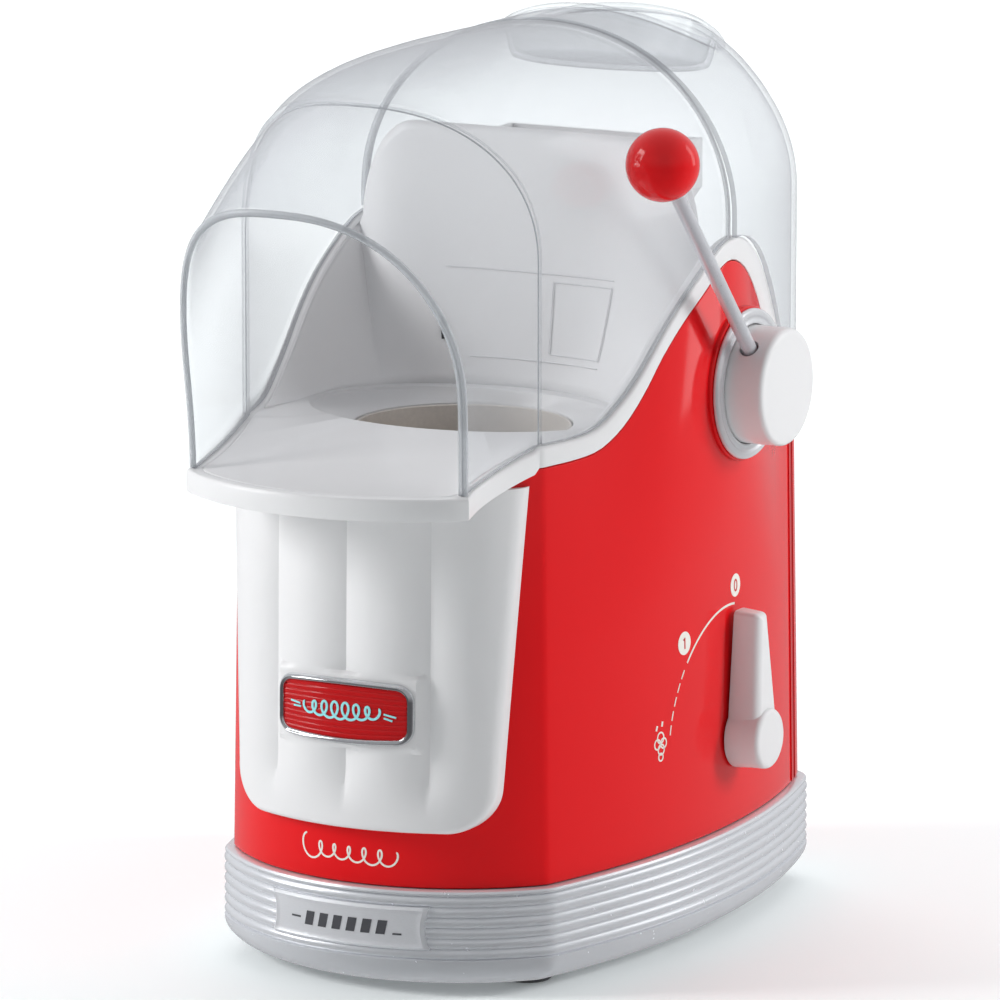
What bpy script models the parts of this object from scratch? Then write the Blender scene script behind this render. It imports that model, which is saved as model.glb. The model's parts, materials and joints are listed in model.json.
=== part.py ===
"""Hot-air popcorn maker with a clear hood, a side dosing lever and a rotary switch.

The object stands on four feet. X runs across it, with the lever and the switch on the +X side,
-Y is the front where the popcorn leaves, and Z is up. Every size below is in millimetres, in a
frame whose X = 0 is the body's middle plane; the empty "appliance" then moves the whole object so
that the centre of its bounding box stands over the world origin.
"""

import math

import bmesh
import bpy
from mathutils import Matrix, Vector

MM = 0.001
GAP = 0.3  # clearance between pieces that touch

# Plan of the body where it meets the base
CORNER_X = 71.0
FRONT_CORNER_Y = -109.0
BACK_CORNER_Y = 112.0
FRONT_SAG = 33.0
SIDE_SAG = 17.5
BACK_SAG = 14.0
CORNER_RADIUS = 11.0
DRAFT = 3.0 / 174.0  # inset gained for each millimetre of height

# Levels
FLOOR_Z = 3.0
BODY_Z = 43.0
TRAY_Z = 217.0
RED_Z = 209.0
HOOD_TOP_Z = 364.4
SHOULDER_Z = 290.0

# Base
BASE_OUTSET = 4.0
RIB_COUNT = 6
RIB_PITCH = 4.2
RIB_DEPTH = 1.3
RIB_TOP_Z = 40.7
WALL = 2.5
FOOT_RADIUS = 10.0
FOOT_PLACES = ((-53.0, -92.0), (53.0, -92.0), (-53.0, 92.0), (53.0, 92.0))
SCREW_PLACES = ((-63.0, -80.0), (63.0, -80.0), (-63.0, 80.0), (63.0, 80.0))
BOSS_RADIUS = 6.0
GLAND_Z = 24.0

# Collar, tray and funnel
SKIRT_OUT = WALL + GAP
SKIRT_IN = 5.3
LIP = 9.0
PLATE = 3.0
TRAY_SLOPE = 0.226
TRAY_TIP = (62.8, -158.0)
TRAY_FRONT_Y = -181.5
FUNNEL_Y = -48.0
FUNNEL_RX = 65.0
FUNNEL_RY = 49.0
FUNNEL_Z = 204.0
CHAMBER_RADIUS = 44.0
RIM_CURVE = (
    (-140, 217.0), (-90, 217.6), (-76, 220.2), (-63, 227.4), (-51, 236.2), (-36, 249.6), (-22, 260.2),
    (-5, 270.4), (8, 277.2), (18, 280.4), (27, 281.3), (36, 279.6), (47, 274.0), (58, 263.8),
    (68, 250.8), (78, 235.6), (88, 223.6), (98, 218.0), (130, 217.0),
)
RED_CURVE = (
    (-140, 207.5), (-125, 207.5), (-105, 208.6), (-88, 209.4), (-76, 211.4), (-62, 218.4), (-48, 229.8),
    (-36, 241.6), (-20, 253.4), (0, 264.4), (10, 269.8), (19, 272.3), (28, 271.2), (38, 265.8),
    (47, 256.8), (56, 244.0), (66, 228.0), (76, 214.6), (86, 209.4), (102, 208.6), (130, 208.5),
)
TRAY_SIDE_CURVE = ((-158, 62.8), (-146, 61.6), (-133, 62.4), (-118, 65.2), (-107, 68.4))

# Hood
HOOD_INSET = 4.4
REAR_HOOD_INSET = 2.0
FOOT_GAP = 0.8
HOOD_WALL = 2.2
MOUTH_FOOT = (60.4, -157.6, 205.0)
MOUTH_TOP_Z = 316.0
MOUTH_LEAN = 20.0
MOUTH_FLARE = 1.4  # how far each side of the mouth stands out above its foot
HOOD_FRONT_BOW = 29.0
JOINT_Y = 21.5
RIDGE_CURVE = ((-132, 351.4), (-112, 357.6), (-80, 362.0), (-40, 363.8), (0, 364.0), (40, 363.6))
BACK_SHOULDER_Y = 84.0
BACK_EDGE_Z = 300.0
CAP_Y = 77.0
CAP_RX = 48.0
CAP_RY = 24.0
CAP_FLOOR_Z = 341.0

# Lever
LEVER_Y = 30.0
LEVER_Z = 221.6
LEVER_ANGLE = math.radians(42.0)
LEVER_LENGTH = 136.6
ROD_X = 95.8
ROD_RADIUS = 3.0
BALL_RADIUS = 14.5
HUB_RADIUS = 23.8
HUB_END_X = 105.5
SHAFT_RADIUS = 4.0
DRUM_RADIUS = 9.5

# Switch
SWITCH_Y = 21.0
SWITCH_Z = 79.3
KNOB_X = 88.4
KNOB_END_X = 103.5
KNOB_LENGTH = 52.0  # from the spindle to the tip
KNOB_RADIUS = 13.0
KNOB_WAIST = 9.4
KNOB_TIP = 5.0
KNOB_CORNER = 2.6

# Chamber, heater and fan, on one vertical axis
AXIS_Y = FUNNEL_Y
SLEEVE_RADIUS = 53.0
FAN_RADIUS = 38.0

# Front panel and badge
PANEL_BOTTOM_Z = 66.0
PANEL_TOP_Z = 202.0
PANEL_TOP_HALF = 66.0
PANEL_BOTTOM_HALF = 57.0
PANEL_CORNER = 16.0
FLUTE_PITCH = 34.0
FLUTE_DEPTH = 3.5
PANEL_PROUD = 5.5
PANEL_WALL = 6.4
BADGE_Z = 113.0
BADGE_HALF = (30.0, 13.0)
PLATE_Z = 28.0
PLATE_HALF = (35.0, 8.5)

# Smoothness of round shapes
FRONT_STEPS = 10
FILLET_STEPS = 3
SIDE_STEPS = 13
BACK_STEPS = 4
ARCH_STEPS = 22
ROUND_STEPS = 20


def clear_scene():
    for obj in list(bpy.data.objects):
        bpy.data.objects.remove(obj)


# ---------------------------------------------------------------- curves

def smooth_through(points, at):
    """Height at a place along a smooth curve that passes through the given points."""
    at = min(max(at, points[0][0]), points[-1][0])
    last = len(points) - 1
    i = max(k for k in range(last) if points[k][0] <= at)

    def slope(k):
        low, high = points[max(k - 1, 0)], points[min(k + 1, last)]
        return (high[1] - low[1]) / (high[0] - low[0])

    (x0, y0), (x1, y1) = points[i], points[i + 1]
    width = x1 - x0
    t = (at - x0) / width
    return (
        (2 * t**3 - 3 * t**2 + 1) * y0 + (t**3 - 2 * t**2 + t) * width * slope(i)
        + (3 * t**2 - 2 * t**3) * y1 + (t**3 - t**2) * width * slope(i + 1)
    )


def smooth_step(t):
    t = min(max(t, 0.0), 1.0)
    return t * t * (3 - 2 * t)


def arc_radius(half_chord, sag):
    return (half_chord**2 + sag**2) / (2 * sag)


FRONT_RADIUS = arc_radius(CORNER_X, FRONT_SAG)
SIDE_MIDDLE_Y = (FRONT_CORNER_Y + BACK_CORNER_Y) / 2
SIDE_RADIUS = arc_radius((BACK_CORNER_Y - FRONT_CORNER_Y) / 2, SIDE_SAG)
BACK_RADIUS = arc_radius(CORNER_X, BACK_SAG)
FRONT_CENTRE = Vector((0.0, FRONT_CORNER_Y - FRONT_SAG + FRONT_RADIUS))
SIDE_CENTRE = Vector((CORNER_X + SIDE_SAG - SIDE_RADIUS, SIDE_MIDDLE_Y))
BACK_CENTRE = Vector((0.0, BACK_CORNER_Y + BACK_SAG - BACK_RADIUS))


def circles_meet(centre_a, radius_a, centre_b, radius_b, near):
    """The meeting point of two circles that lies nearer to a given point."""
    span = centre_b - centre_a
    length = span.length
    along = (length**2 + radius_a**2 - radius_b**2) / (2 * length)
    across = math.sqrt(max(radius_a**2 - along**2, 0.0))
    middle = centre_a + span * (along / length)
    side = Vector((-span.y, span.x)) * (across / length)
    return min((middle + side, middle - side), key=lambda point: (point - near).length)


def angle_from(centre, point):
    return math.atan2(point.y - centre.y, point.x - centre.x)


def arc(centre, radius, start, end, steps):
    """Points along an arc, without its last point."""
    angles = [start + (end - start) * k / steps for k in range(steps)]
    return [(centre.x + radius * math.cos(a), centre.y + radius * math.sin(a)) for a in angles]


def plan(inset):
    """The body's outline seen from above, moved inward, anticlockwise from the front centre."""
    fillet = max(CORNER_RADIUS - inset, 3.0)
    front_r, side_r, back_r = (r - inset for r in (FRONT_RADIUS, SIDE_RADIUS, BACK_RADIUS))
    front = circles_meet(
        FRONT_CENTRE, front_r - fillet, SIDE_CENTRE, side_r - fillet,
        Vector((CORNER_X, FRONT_CORNER_Y)),
    )
    back = circles_meet(
        BACK_CENTRE, back_r - fillet, SIDE_CENTRE, side_r - fillet,
        Vector((CORNER_X, BACK_CORNER_Y)),
    )
    turns = [
        -math.pi / 2, angle_from(FRONT_CENTRE, front), angle_from(SIDE_CENTRE, front),
        angle_from(SIDE_CENTRE, back), angle_from(BACK_CENTRE, back), math.pi / 2,
    ]
    right = arc(FRONT_CENTRE, front_r, turns[0], turns[1], FRONT_STEPS)
    right += arc(front, fillet, turns[1], turns[2], FILLET_STEPS)
    right += arc(SIDE_CENTRE, side_r, turns[2], turns[3], SIDE_STEPS)
    right += arc(back, fillet, turns[3], turns[4], FILLET_STEPS)
    right += arc(BACK_CENTRE, back_r, turns[4], turns[5], BACK_STEPS)
    return mirrored(right, (0.0, BACK_CENTRE.y + back_r))


def mirrored(right, last):
    """A full outline from its right half, which starts on the middle plane, and its last point."""
    left = [(-x, y) for x, y in reversed(right[1:])]
    return right + [last] + left


def inset_at(z):
    return DRAFT * (z - BODY_Z)


def ring(extra_inset, heights):
    """A loop of points on the drafted body, each at its own height."""
    points = []
    for index, z in enumerate(heights):
        x, y = plan(extra_inset + inset_at(z))[index]
        points.append((x, y, z))
    return points


def level_ring(inset, z):
    return [(x, y, z) for x, y in plan(inset)]


def rim_height(y):
    return smooth_through(RIM_CURVE, y)


def red_height(y):
    return smooth_through(RED_CURVE, y)


def panel_y(x, z):
    """Y of the highest part of the front panel, which stands out from the body."""
    radius = FRONT_RADIUS - inset_at(z) + PANEL_PROUD
    return FRONT_CENTRE.y - math.sqrt(radius**2 - x**2)


# ---------------------------------------------------------------- mesh tools

def grid_faces(bm, rows, wrap_rows=False, wrap_points=False):
    """Quads between rows of vertices of equal length."""
    count = len(rows[0])
    pairs = list(zip(rows, rows[1:])) + ([(rows[-1], rows[0])] if wrap_rows else [])
    for low, high in pairs:
        for k in range(count if wrap_points else count - 1):
            after = (k + 1) % count
            bm.faces.new((low[k], low[after], high[after], high[k]))


def loft(loops, joined=False):
    """A body between loops of equal length, capped at both ends or joined into a ring."""
    bm = bmesh.new()
    rows = [[bm.verts.new(point) for point in loop] for loop in loops]
    grid_faces(bm, rows, wrap_rows=joined, wrap_points=True)
    if not joined:
        bm.faces.new(reversed(rows[0]))
        bm.faces.new(rows[-1])
    return bm


def sheet(rows):
    """An open sheet through rows of points, to be thickened by a Solidify."""
    bm = bmesh.new()
    grid_faces(bm, [[bm.verts.new(point) for point in row] for row in rows])
    return bm


def slab(rows, shift):
    """A closed body between a sheet of points and the same sheet moved by a vector."""
    bm = bmesh.new()
    front = [[bm.verts.new(point) for point in row] for row in rows]
    back = [[bm.verts.new(Vector(point) + Vector(shift)) for point in row] for row in rows]
    grid_faces(bm, front)
    grid_faces(bm, back)
    sides = [
        (front[0], back[0]), (front[-1], back[-1]),
        ([row[0] for row in front], [row[0] for row in back]),
        ([row[-1] for row in front], [row[-1] for row in back]),
    ]
    for edge, far_edge in sides:
        grid_faces(bm, [edge, far_edge])
    return bm


def turned(profile, steps=ROUND_STEPS):
    """A profile of (radius, height) turned about Z; off the axis, its two ends are joined."""
    bm = bmesh.new()
    verts = [bm.verts.new((radius, 0, z)) for radius, z in profile]
    on_axis = profile[0][0] == 0 and profile[-1][0] == 0
    pairs = list(zip(verts, verts[1:])) + ([] if on_axis else [(verts[-1], verts[0])])
    edges = [bm.edges.new(pair) for pair in pairs]
    bmesh.ops.spin(
        bm, geom=verts + edges, axis=(0, 0, 1), cent=(0, 0, 0), angle=math.tau, steps=steps,
        use_merge=True,
    )
    return bm


def placed(bm, at=(0, 0, 0), axis="Z"):
    """Turn a shape built about Z onto another axis, then move it."""
    turn = {
        "Z": Matrix(),
        "X": Matrix.Rotation(math.pi / 2, 4, "Y"),
        "Y": Matrix.Rotation(-math.pi / 2, 4, "X"),
        "-X": Matrix.Rotation(-math.pi / 2, 4, "Y"),
    }[axis]
    bmesh.ops.transform(bm, matrix=Matrix.Translation(at) @ turn, verts=bm.verts)
    return bm


def rod(radius, start, end, at=(0, 0, 0), axis="Z", steps=ROUND_STEPS):
    return placed(turned([(0, start), (radius, start), (radius, end), (0, end)], steps), at, axis)


def tube(inner, outer, start, end, at=(0, 0, 0), axis="Z", steps=ROUND_STEPS):
    profile = [(inner, start), (outer, start), (outer, end), (inner, end)]
    return placed(turned(profile, steps), at, axis)


def block(low, high):
    """A box between two corners."""
    bm = bmesh.new()
    bmesh.ops.create_cube(bm, size=1.0)
    size = Vector(high) - Vector(low)
    bmesh.ops.scale(bm, vec=size, verts=bm.verts)
    bmesh.ops.translate(bm, vec=(Vector(low) + Vector(high)) / 2, verts=bm.verts)
    return bm


def merged(shapes):
    """Several shapes in one mesh, for cutters."""
    bm = bmesh.new()
    for shape in shapes:
        mesh = bpy.data.meshes.new("scratch")
        shape.to_mesh(mesh)
        shape.free()
        bm.from_mesh(mesh)
        bpy.data.meshes.remove(mesh)
    return bm


def rounded_rectangle(half_x, half_y, radius, steps=4, along=8):
    """Anticlockwise outline of a rectangle with round corners and divided long sides."""
    points = []
    for quarter, (sx, sy) in enumerate(((1, -1), (1, 1), (-1, 1), (-1, -1))):
        centre = Vector((sx * (half_x - radius), sy * (half_y - radius)))
        start = math.pi / 2 * (quarter - 1)
        points += arc(centre, radius, start, start + math.pi / 2, steps)
        end_x = centre.x + radius * math.cos(start + math.pi / 2)
        end_y = centre.y + radius * math.sin(start + math.pi / 2)
        parts = along if quarter % 2 else 1
        points += [(end_x * (1 - 2 * k / parts), end_y) for k in range(parts)]
    return points


def ellipse_at(point, centre_y, rx, ry, z):
    """The point of an ellipse that lies in the same direction as a given point."""
    angle = math.atan2((point[1] - centre_y) / ry, point[0] / rx)
    return (rx * math.cos(angle), centre_y + ry * math.sin(angle), z)


# ---------------------------------------------------------------- objects and materials

def look(name, colour, roughness, metallic=0.0, alpha=1.0):
    """A Principled material, made once."""
    found = bpy.data.materials.get(name)
    if found:
        return found
    material = bpy.data.materials.new(name)
    material.use_nodes = True
    shader = material.node_tree.nodes["Principled BSDF"]
    shader.inputs["Base Color"].default_value = (*colour, 1.0)
    shader.inputs["Roughness"].default_value = roughness
    shader.inputs["Metallic"].default_value = metallic
    shader.inputs["Alpha"].default_value = alpha
    return material


def red_gloss():
    return look("red_gloss", (0.75, 0.02, 0.02), 0.15)


def white_plastic():
    return look("white_plastic", (0.85, 0.85, 0.84), 0.3)


def silver_paint():
    return look("silver_paint", (0.6, 0.61, 0.64), 0.3, 0.6)


def clear_plastic():
    return look("clear_plastic", (0.92, 0.94, 0.95), 0.05, 0.0, 0.25)


def steel():
    return look("steel", (0.62, 0.62, 0.63), 0.3, 1.0)


def chrome():
    return look("chrome", (0.8, 0.8, 0.82), 0.08, 1.0)


def black_plastic():
    return look("black_plastic", (0.03, 0.03, 0.03), 0.5)


def rubber():
    return look("rubber", (0.08, 0.08, 0.085), 0.8)


def aluminium():
    return look("aluminium", (0.55, 0.55, 0.56), 0.4, 1.0)


def mica():
    return look("mica", (0.55, 0.45, 0.3), 0.6)


def brass():
    return look("brass", (0.75, 0.55, 0.25), 0.3, 1.0)


def empty(name, parent=None, at=(0, 0, 0)):
    obj = bpy.data.objects.new(name, None)
    obj.location = Vector(at) * MM
    obj.parent = parent
    bpy.context.scene.collection.objects.link(obj)
    return obj


def finished_mesh(name, bm, origin=(0, 0, 0)):
    """A mesh in metres, about its origin, from a shape in millimetres."""
    bmesh.ops.remove_doubles(bm, verts=bm.verts, dist=1e-4)
    bmesh.ops.recalc_face_normals(bm, faces=bm.faces)
    bmesh.ops.translate(bm, vec=-Vector(origin), verts=bm.verts)
    bmesh.ops.scale(bm, vec=(MM, MM, MM), verts=bm.verts)
    mesh = bpy.data.meshes.new(name)
    bm.to_mesh(mesh)
    bm.free()
    mesh.shade_smooth()
    mesh.set_sharp_from_angle(angle=math.radians(35))
    return mesh


def link(name, mesh, material, parent, location=(0, 0, 0)):
    obj = bpy.data.objects.new(name, mesh)
    obj.location = location
    obj.parent = parent
    if not mesh.materials:
        mesh.materials.append(material)
    bpy.context.scene.collection.objects.link(obj)
    return obj


def piece(name, bm, material, parent):
    """A named sub-part. Its shape is given in the body's frame; its origin is its parent's."""
    origin = parent.location / MM if parent.parent else (0, 0, 0)
    return link(name, finished_mesh(name, bm, origin), material, parent)


def copies(name, bm, material, parent, places):
    """The same sub-part at several places, numbered, sharing one mesh."""
    mesh = finished_mesh(name, bm)
    for number, place in enumerate(places, 1):
        link(f"{name}_{number}", mesh, material, parent, Vector(place) * MM)


def boolean(target, bm, operation="DIFFERENCE"):
    """Cut a shape from a sub-part, or join it on, with a hidden tool object."""
    tool = piece(f"{target.name}_tool_{len(target.modifiers)}", bm, black_plastic(), target.parent)
    tool.hide_render = True
    tool.display_type = "WIRE"
    change = target.modifiers.new(operation.title(), "BOOLEAN")
    change.operation = operation
    change.solver = "EXACT"
    change.object = tool


def thicken(target, thickness, offset=-1.0):
    """Give a sheet its wall."""
    wall = target.modifiers.new("Wall", "SOLIDIFY")
    wall.thickness = thickness * MM
    wall.offset = offset
    wall.use_even_offset = False


# ---------------------------------------------------------------- base

def base_profile():
    """(Outset, height) points up the outside of the base: a round bowl, ribs and a shoulder."""
    points = [(-12.0, FLOOR_Z), (-3.5, 4.6), (1.2, 8.4), (3.3, 12.6), (BASE_OUTSET, 15.5)]
    for rib in range(RIB_COUNT):
        low = 15.5 + RIB_PITCH * rib
        points += [(BASE_OUTSET - RIB_DEPTH, low + 0.8), (BASE_OUTSET, low + 2.6)]
    return points + [(BASE_OUTSET - 0.4, RIB_TOP_Z), (3.0, BODY_Z)]


def make_base(appliance):
    outside = [level_ring(-outset, z) for outset, z in base_profile()]
    inside = [
        level_ring(inset, z)
        for inset, z in ((6.0, BODY_Z), (6.0, 40.5), (1.6, 37.0), (1.6, 13.0), (6.0, 5.6))
    ]
    base = piece("base_shell", loft(outside + inside), silver_paint(), appliance)
    for x, y in SCREW_PLACES:
        boolean(base, rod(BOSS_RADIUS, 4.5, BODY_Z - GAP, (x, y, 0)), "UNION")
    holes = [rod(2.0, -1, BODY_Z + 2, (x, y, 0), steps=12) for x, y in SCREW_PLACES]
    boolean(base, merged(holes))
    sinks = [rod(4.4, -1, 10.0, (x, y, 0), steps=12) for x, y in SCREW_PLACES]
    boolean(base, merged(sinks))
    stems = [rod(3.0, -1, 7.0, (x, y, 0), steps=12) for x, y in FOOT_PLACES]
    boolean(base, merged(stems))
    slots = [block((-34, AXIS_Y + d - 2, 1), (34, AXIS_Y + d + 2, 8)) for d in range(-30, 31, 10)]
    boolean(base, merged(slots))
    boolean(base, rod(6.3, 110, 140, (0, 0, GLAND_Z), "Y"))


def curved_plate(half_x, half_z, corner, centre_z, surface_y, thick, columns=14):
    """A plate with round corners laid on a curved face, whose Y is a function of x and z."""
    rows = []
    for column in range(columns + 1):
        x = -half_x * math.cos(math.pi * column / columns)
        past = max(0.0, abs(x) - (half_x - corner))
        height = half_z - corner + math.sqrt(max(corner**2 - past**2, 0.0))
        heights = [centre_z + height * (2 * k / 4 - 1) for k in range(5)]
        rows.append([(x, surface_y(x, z), z) for z in heights])
    return slab(rows, (0, -thick, 0))


def make_nameplate(appliance):
    """A plain curved plate on the front of the ribs."""
    radius = FRONT_RADIUS + BASE_OUTSET + GAP

    def surface_y(x, z):
        return FRONT_CENTRE.y - math.sqrt(radius**2 - x**2)

    shape = curved_plate(*PLATE_HALF, 7.0, PLATE_Z, surface_y, 1.2)
    piece("nameplate", shape, silver_paint(), appliance)


def make_feet(appliance):
    profile = [(0, 0), (FOOT_RADIUS - 1, 0), (FOOT_RADIUS, 1.0), (FOOT_RADIUS, FLOOR_Z - GAP)]
    profile += [(2.7, FLOOR_Z - GAP), (2.7, 6.5), (0, 6.5)]
    places = [(x, y, 0) for x, y in FOOT_PLACES]
    copies("foot", turned(profile), rubber(), appliance, places)


def make_base_screws(appliance):
    profile = [(0, 6.5), (3.9, 6.5), (3.9, 9.2), (1.7, 9.7), (1.7, 54.0), (0, 54.0)]
    places = [(x, y, 0) for x, y in SCREW_PLACES]
    copies("base_screw", turned(profile, 12), steel(), appliance, places)


def make_cord_gland(appliance):
    """The grommet in the back of the base where the mains lead goes in."""
    back = BACK_CENTRE.y + BACK_RADIUS
    profile = [
        (3.6, back - 4), (6.0, back - 4), (6.0, back + 4.3), (8.5, back + 4.3), (7.5, back + 8.0),
        (3.6, back + 8.0),
    ]
    piece("cord_gland", placed(turned(profile), (0, 0, GLAND_Z), "Y"), rubber(), appliance)


# ---------------------------------------------------------------- body

def panel_half_width(z):
    """Half the front panel's width at a height: tapered, with round lower corners."""
    taper = (z - PANEL_BOTTOM_Z) / (PANEL_TOP_Z - PANEL_BOTTOM_Z)
    half = PANEL_BOTTOM_HALF + (PANEL_TOP_HALF - PANEL_BOTTOM_HALF) * taper
    below = max(0.0, PANEL_CORNER - (z - PANEL_BOTTOM_Z))
    return half - PANEL_CORNER + math.sqrt(PANEL_CORNER**2 - below**2)


def panel_levels():
    """Heights of the panel's rows, closer together round its lower corners."""
    turns = [PANEL_CORNER * (1 - math.cos(math.pi / 2 * k / 5)) for k in range(5)]
    rises = [PANEL_CORNER + (PANEL_TOP_Z - PANEL_BOTTOM_Z - PANEL_CORNER) * k / 6 for k in range(7)]
    return [PANEL_BOTTOM_Z + z for z in turns + rises]


def make_body(appliance):
    outline = plan(inset_at(RED_Z))
    tops = [red_height(y) for x, y in outline]
    low = BODY_Z + GAP
    count = len(outline)
    loops = [
        ring(0, [low] * count), ring(0, tops), ring(WALL, tops), ring(WALL, [low + 3] * count),
        ring(24, [low + 3] * count), ring(24, [low] * count),
    ]
    body = piece("body_shell", loft(loops, joined=True), red_gloss(), appliance)
    for x, y in SCREW_PLACES:
        boolean(body, rod(5.0, low, 57.0, (x, y, 0), steps=16), "UNION")
    holes = [rod(2.0, low - 1, 59.0, (x, y, 0), steps=12) for x, y in SCREW_PLACES]
    boolean(body, merged(holes))
    levels = panel_levels() + [PANEL_TOP_Z + 20]
    right = [(panel_half_width(z) + GAP, z - GAP) for z in levels]
    window = right + [(-x, z) for x, z in reversed(right)]
    boolean(body, loft([[(x, y, z) for x, z in window] for y in (-160, -70)]))
    boolean(body, rod(8.0, 70, 92, (0, LEVER_Y, LEVER_Z), "X"))
    boolean(body, rod(4.6, 80, 92, (0, SWITCH_Y, SWITCH_Z), "X"))


def flute_depth(x, z):
    """How far the panel's surface stands back: round columns with sharp valleys between them."""
    across = (x / FLUTE_PITCH) % 1.0
    column = 2 * across - 1
    fade = smooth_step((z - PANEL_BOTTOM_Z - 6) / 34.0)
    pad_x = smooth_step((abs(x) - BADGE_HALF[0] - 1) / 3.0)
    pad_z = smooth_step((abs(z - BADGE_Z) - BADGE_HALF[1] - 1) / 3.0)
    return FLUTE_DEPTH * column**2 * fade * max(pad_x, pad_z)


def make_front_panel(appliance):
    rows = []
    columns = 24
    for z in panel_levels():
        half = panel_half_width(z) - 0.2
        xs = [half * (2 * k / columns - 1) for k in range(columns + 1)]
        rows.append([(x, panel_y(x, z) + flute_depth(x, z), z) for x in xs])
    piece("front_panel", slab(rows, (0, PANEL_WALL, 0)), white_plastic(), appliance)


def badge_loop(scale_down, proud):
    """A loop of the badge's outline laid on the curved front face."""
    half_x, half_z = BADGE_HALF[0] - scale_down, BADGE_HALF[1] - scale_down
    outline = rounded_rectangle(half_x, half_z, 7.0 - scale_down)
    return [(x, panel_y(x, BADGE_Z + z) - proud, BADGE_Z + z) for x, z in outline]


def make_badge(appliance):
    bezel = [badge_loop(0, GAP), badge_loop(0.6, 2.4), badge_loop(2.2, 2.4), badge_loop(2.8, GAP)]
    piece("badge_bezel", loft(bezel, joined=True), chrome(), appliance)

    def surface_y(x, z):
        return panel_y(x, z) - GAP

    half_x, half_z = BADGE_HALF[0] - 3.1, BADGE_HALF[1] - 3.1
    insert = curved_plate(half_x, half_z, 4.0, BADGE_Z, surface_y, 1.4)
    piece("badge_insert", insert, red_gloss(), appliance)


# ---------------------------------------------------------------- collar, tray and chute

def tray_height(y):
    return TRAY_Z + TRAY_SLOPE * (max(min(y, -105.0), TRAY_TIP[1]) + 105.0)


def tray_half(inset, corner):
    """Right half of the tray's outline from the front centre to the body's corner."""
    sag = TRAY_TIP[1] - TRAY_FRONT_Y
    full = arc_radius(TRAY_TIP[0], sag)
    centre_y = TRAY_FRONT_Y + full
    radius = full - inset
    tip_x = TRAY_TIP[0] - inset
    tip_y = centre_y - math.sqrt(radius**2 - tip_x**2)
    half = FRONT_STEPS // 2
    points = []
    for k in range(half):
        x = tip_x * k / half
        points.append((x, centre_y - math.sqrt(radius**2 - x**2)))
    for k in range(half):
        y = tip_y + (corner[1] - tip_y) * k / half
        points.append((smooth_through(TRAY_SIDE_CURVE, y) - inset, y))
    return points


def collar_outline(inset, z=TRAY_Z):
    """The body's outline with the tray in place of its front."""
    outline = plan(inset + inset_at(z))
    right = tray_half(inset, outline[FRONT_STEPS])
    left = [(-x, y) for x, y in reversed(right[1:])]
    return right + outline[FRONT_STEPS:-len(left)] + left


def in_tray(index, count):
    return index < FRONT_STEPS or index > count - FRONT_STEPS


def collar_loop(inset, height):
    """A loop of the collar; height is a function of the place and of being in the tray."""
    flat = collar_outline(inset)
    loop = []
    for index, (x, y) in enumerate(flat):
        tray = in_tray(index, len(flat))
        z = height(y, tray)
        if not tray:
            x, y = plan(inset + inset_at(z))[index]
        loop.append((x, y, z))
    return loop


def make_collar(appliance):
    def top(y, tray):
        return tray_height(y) if tray else rim_height(y)

    def bottom(y, tray):
        return tray_height(y) - LIP if tray else red_height(y) + GAP

    def floor(y, tray):
        return tray_height(y) - 0.2 if tray else TRAY_Z - 0.2

    def under(y, tray):
        return floor(y, tray) - PLATE

    outer = collar_loop(0, top)
    rim = [ellipse_at(p, FUNNEL_Y, FUNNEL_RX, FUNNEL_RY, TRAY_Z - 0.6) for p in outer]
    neck = [ellipse_at(p, FUNNEL_Y, CHAMBER_RADIUS, CHAMBER_RADIUS, FUNNEL_Z) for p in outer]
    neck_out = [ellipse_at(p, FUNNEL_Y, 46.5, 46.5, FUNNEL_Z) for p in outer]
    rim_under = [ellipse_at(p, FUNNEL_Y, 67.5, 51.5, TRAY_Z - 0.6 - PLATE) for p in outer]
    loops = [
        collar_loop(0, bottom), outer, collar_loop(SKIRT_IN, top), collar_loop(7.3, floor), rim,
        neck, neck_out, rim_under, collar_loop(SKIRT_OUT, under), collar_loop(SKIRT_OUT, bottom),
    ]
    collar = piece("collar_tray", loft(loops, joined=True), white_plastic(), appliance)
    boolean(collar, rod(8.0, 75, 95, (0, LEVER_Y, LEVER_Z), "X"))
    boolean(collar, rod(11.0, 60, 76, (0, LEVER_Y, LEVER_Z), "X"))
    boolean(collar, block((-24, 11.5, 208), (24, 48.5, 222)))
    boolean(collar, block((-15, -10, 203), (15, 14, 213.8)))


def chute_plan(steps, grow=0.0):
    """The scoop behind the funnel, from its right end round the back to its left end."""
    points = []
    for k in range(steps + 1):
        angle = math.pi * k / steps
        across, back = math.cos(angle), math.sin(angle)
        x = math.copysign(abs(across) ** 0.667, across) * (66.5 + grow)
        points.append((x, FUNNEL_Y + back**0.667 * (50.5 + grow)))
    return points


def chute_top(y):
    rise = smooth_step((y - FUNNEL_Y) / 42.0)
    return 236.0 + (321.0 - 236.0) * rise


def make_chute_wall(appliance):
    outline = chute_plan(30)
    low = TRAY_Z + GAP
    rows = [[(x, y, low + (chute_top(y) - low) * k / 3) for x, y in outline] for k in range(4)]
    wall = piece("chute_wall", sheet(rows), white_plastic(), appliance)
    thicken(wall, 2.2, 1.0)
    boolean(wall, block((-38.5, -16, 234), (-36.5, 6, 244)))


# ---------------------------------------------------------------- hood

def super_arch(steps, foot, side_z, top_z, power_z, power_x):
    """(Share of the half-width, height) from the right foot over the top to the left foot."""
    legs = 4
    right = [(1.0, foot + (side_z - foot) * k / legs) for k in range(legs)]
    arch = steps // 2 - legs
    for k in range(arch):
        angle = math.pi / 2 * k / arch
        share = math.cos(angle) ** (2 / power_x)
        rise = math.sin(angle) ** (2 / power_z)
        right.append((share, side_z + (top_z - side_z) * rise))
    return right + [(0.0, top_z)] + [(-share, z) for share, z in reversed(right)]


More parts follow.
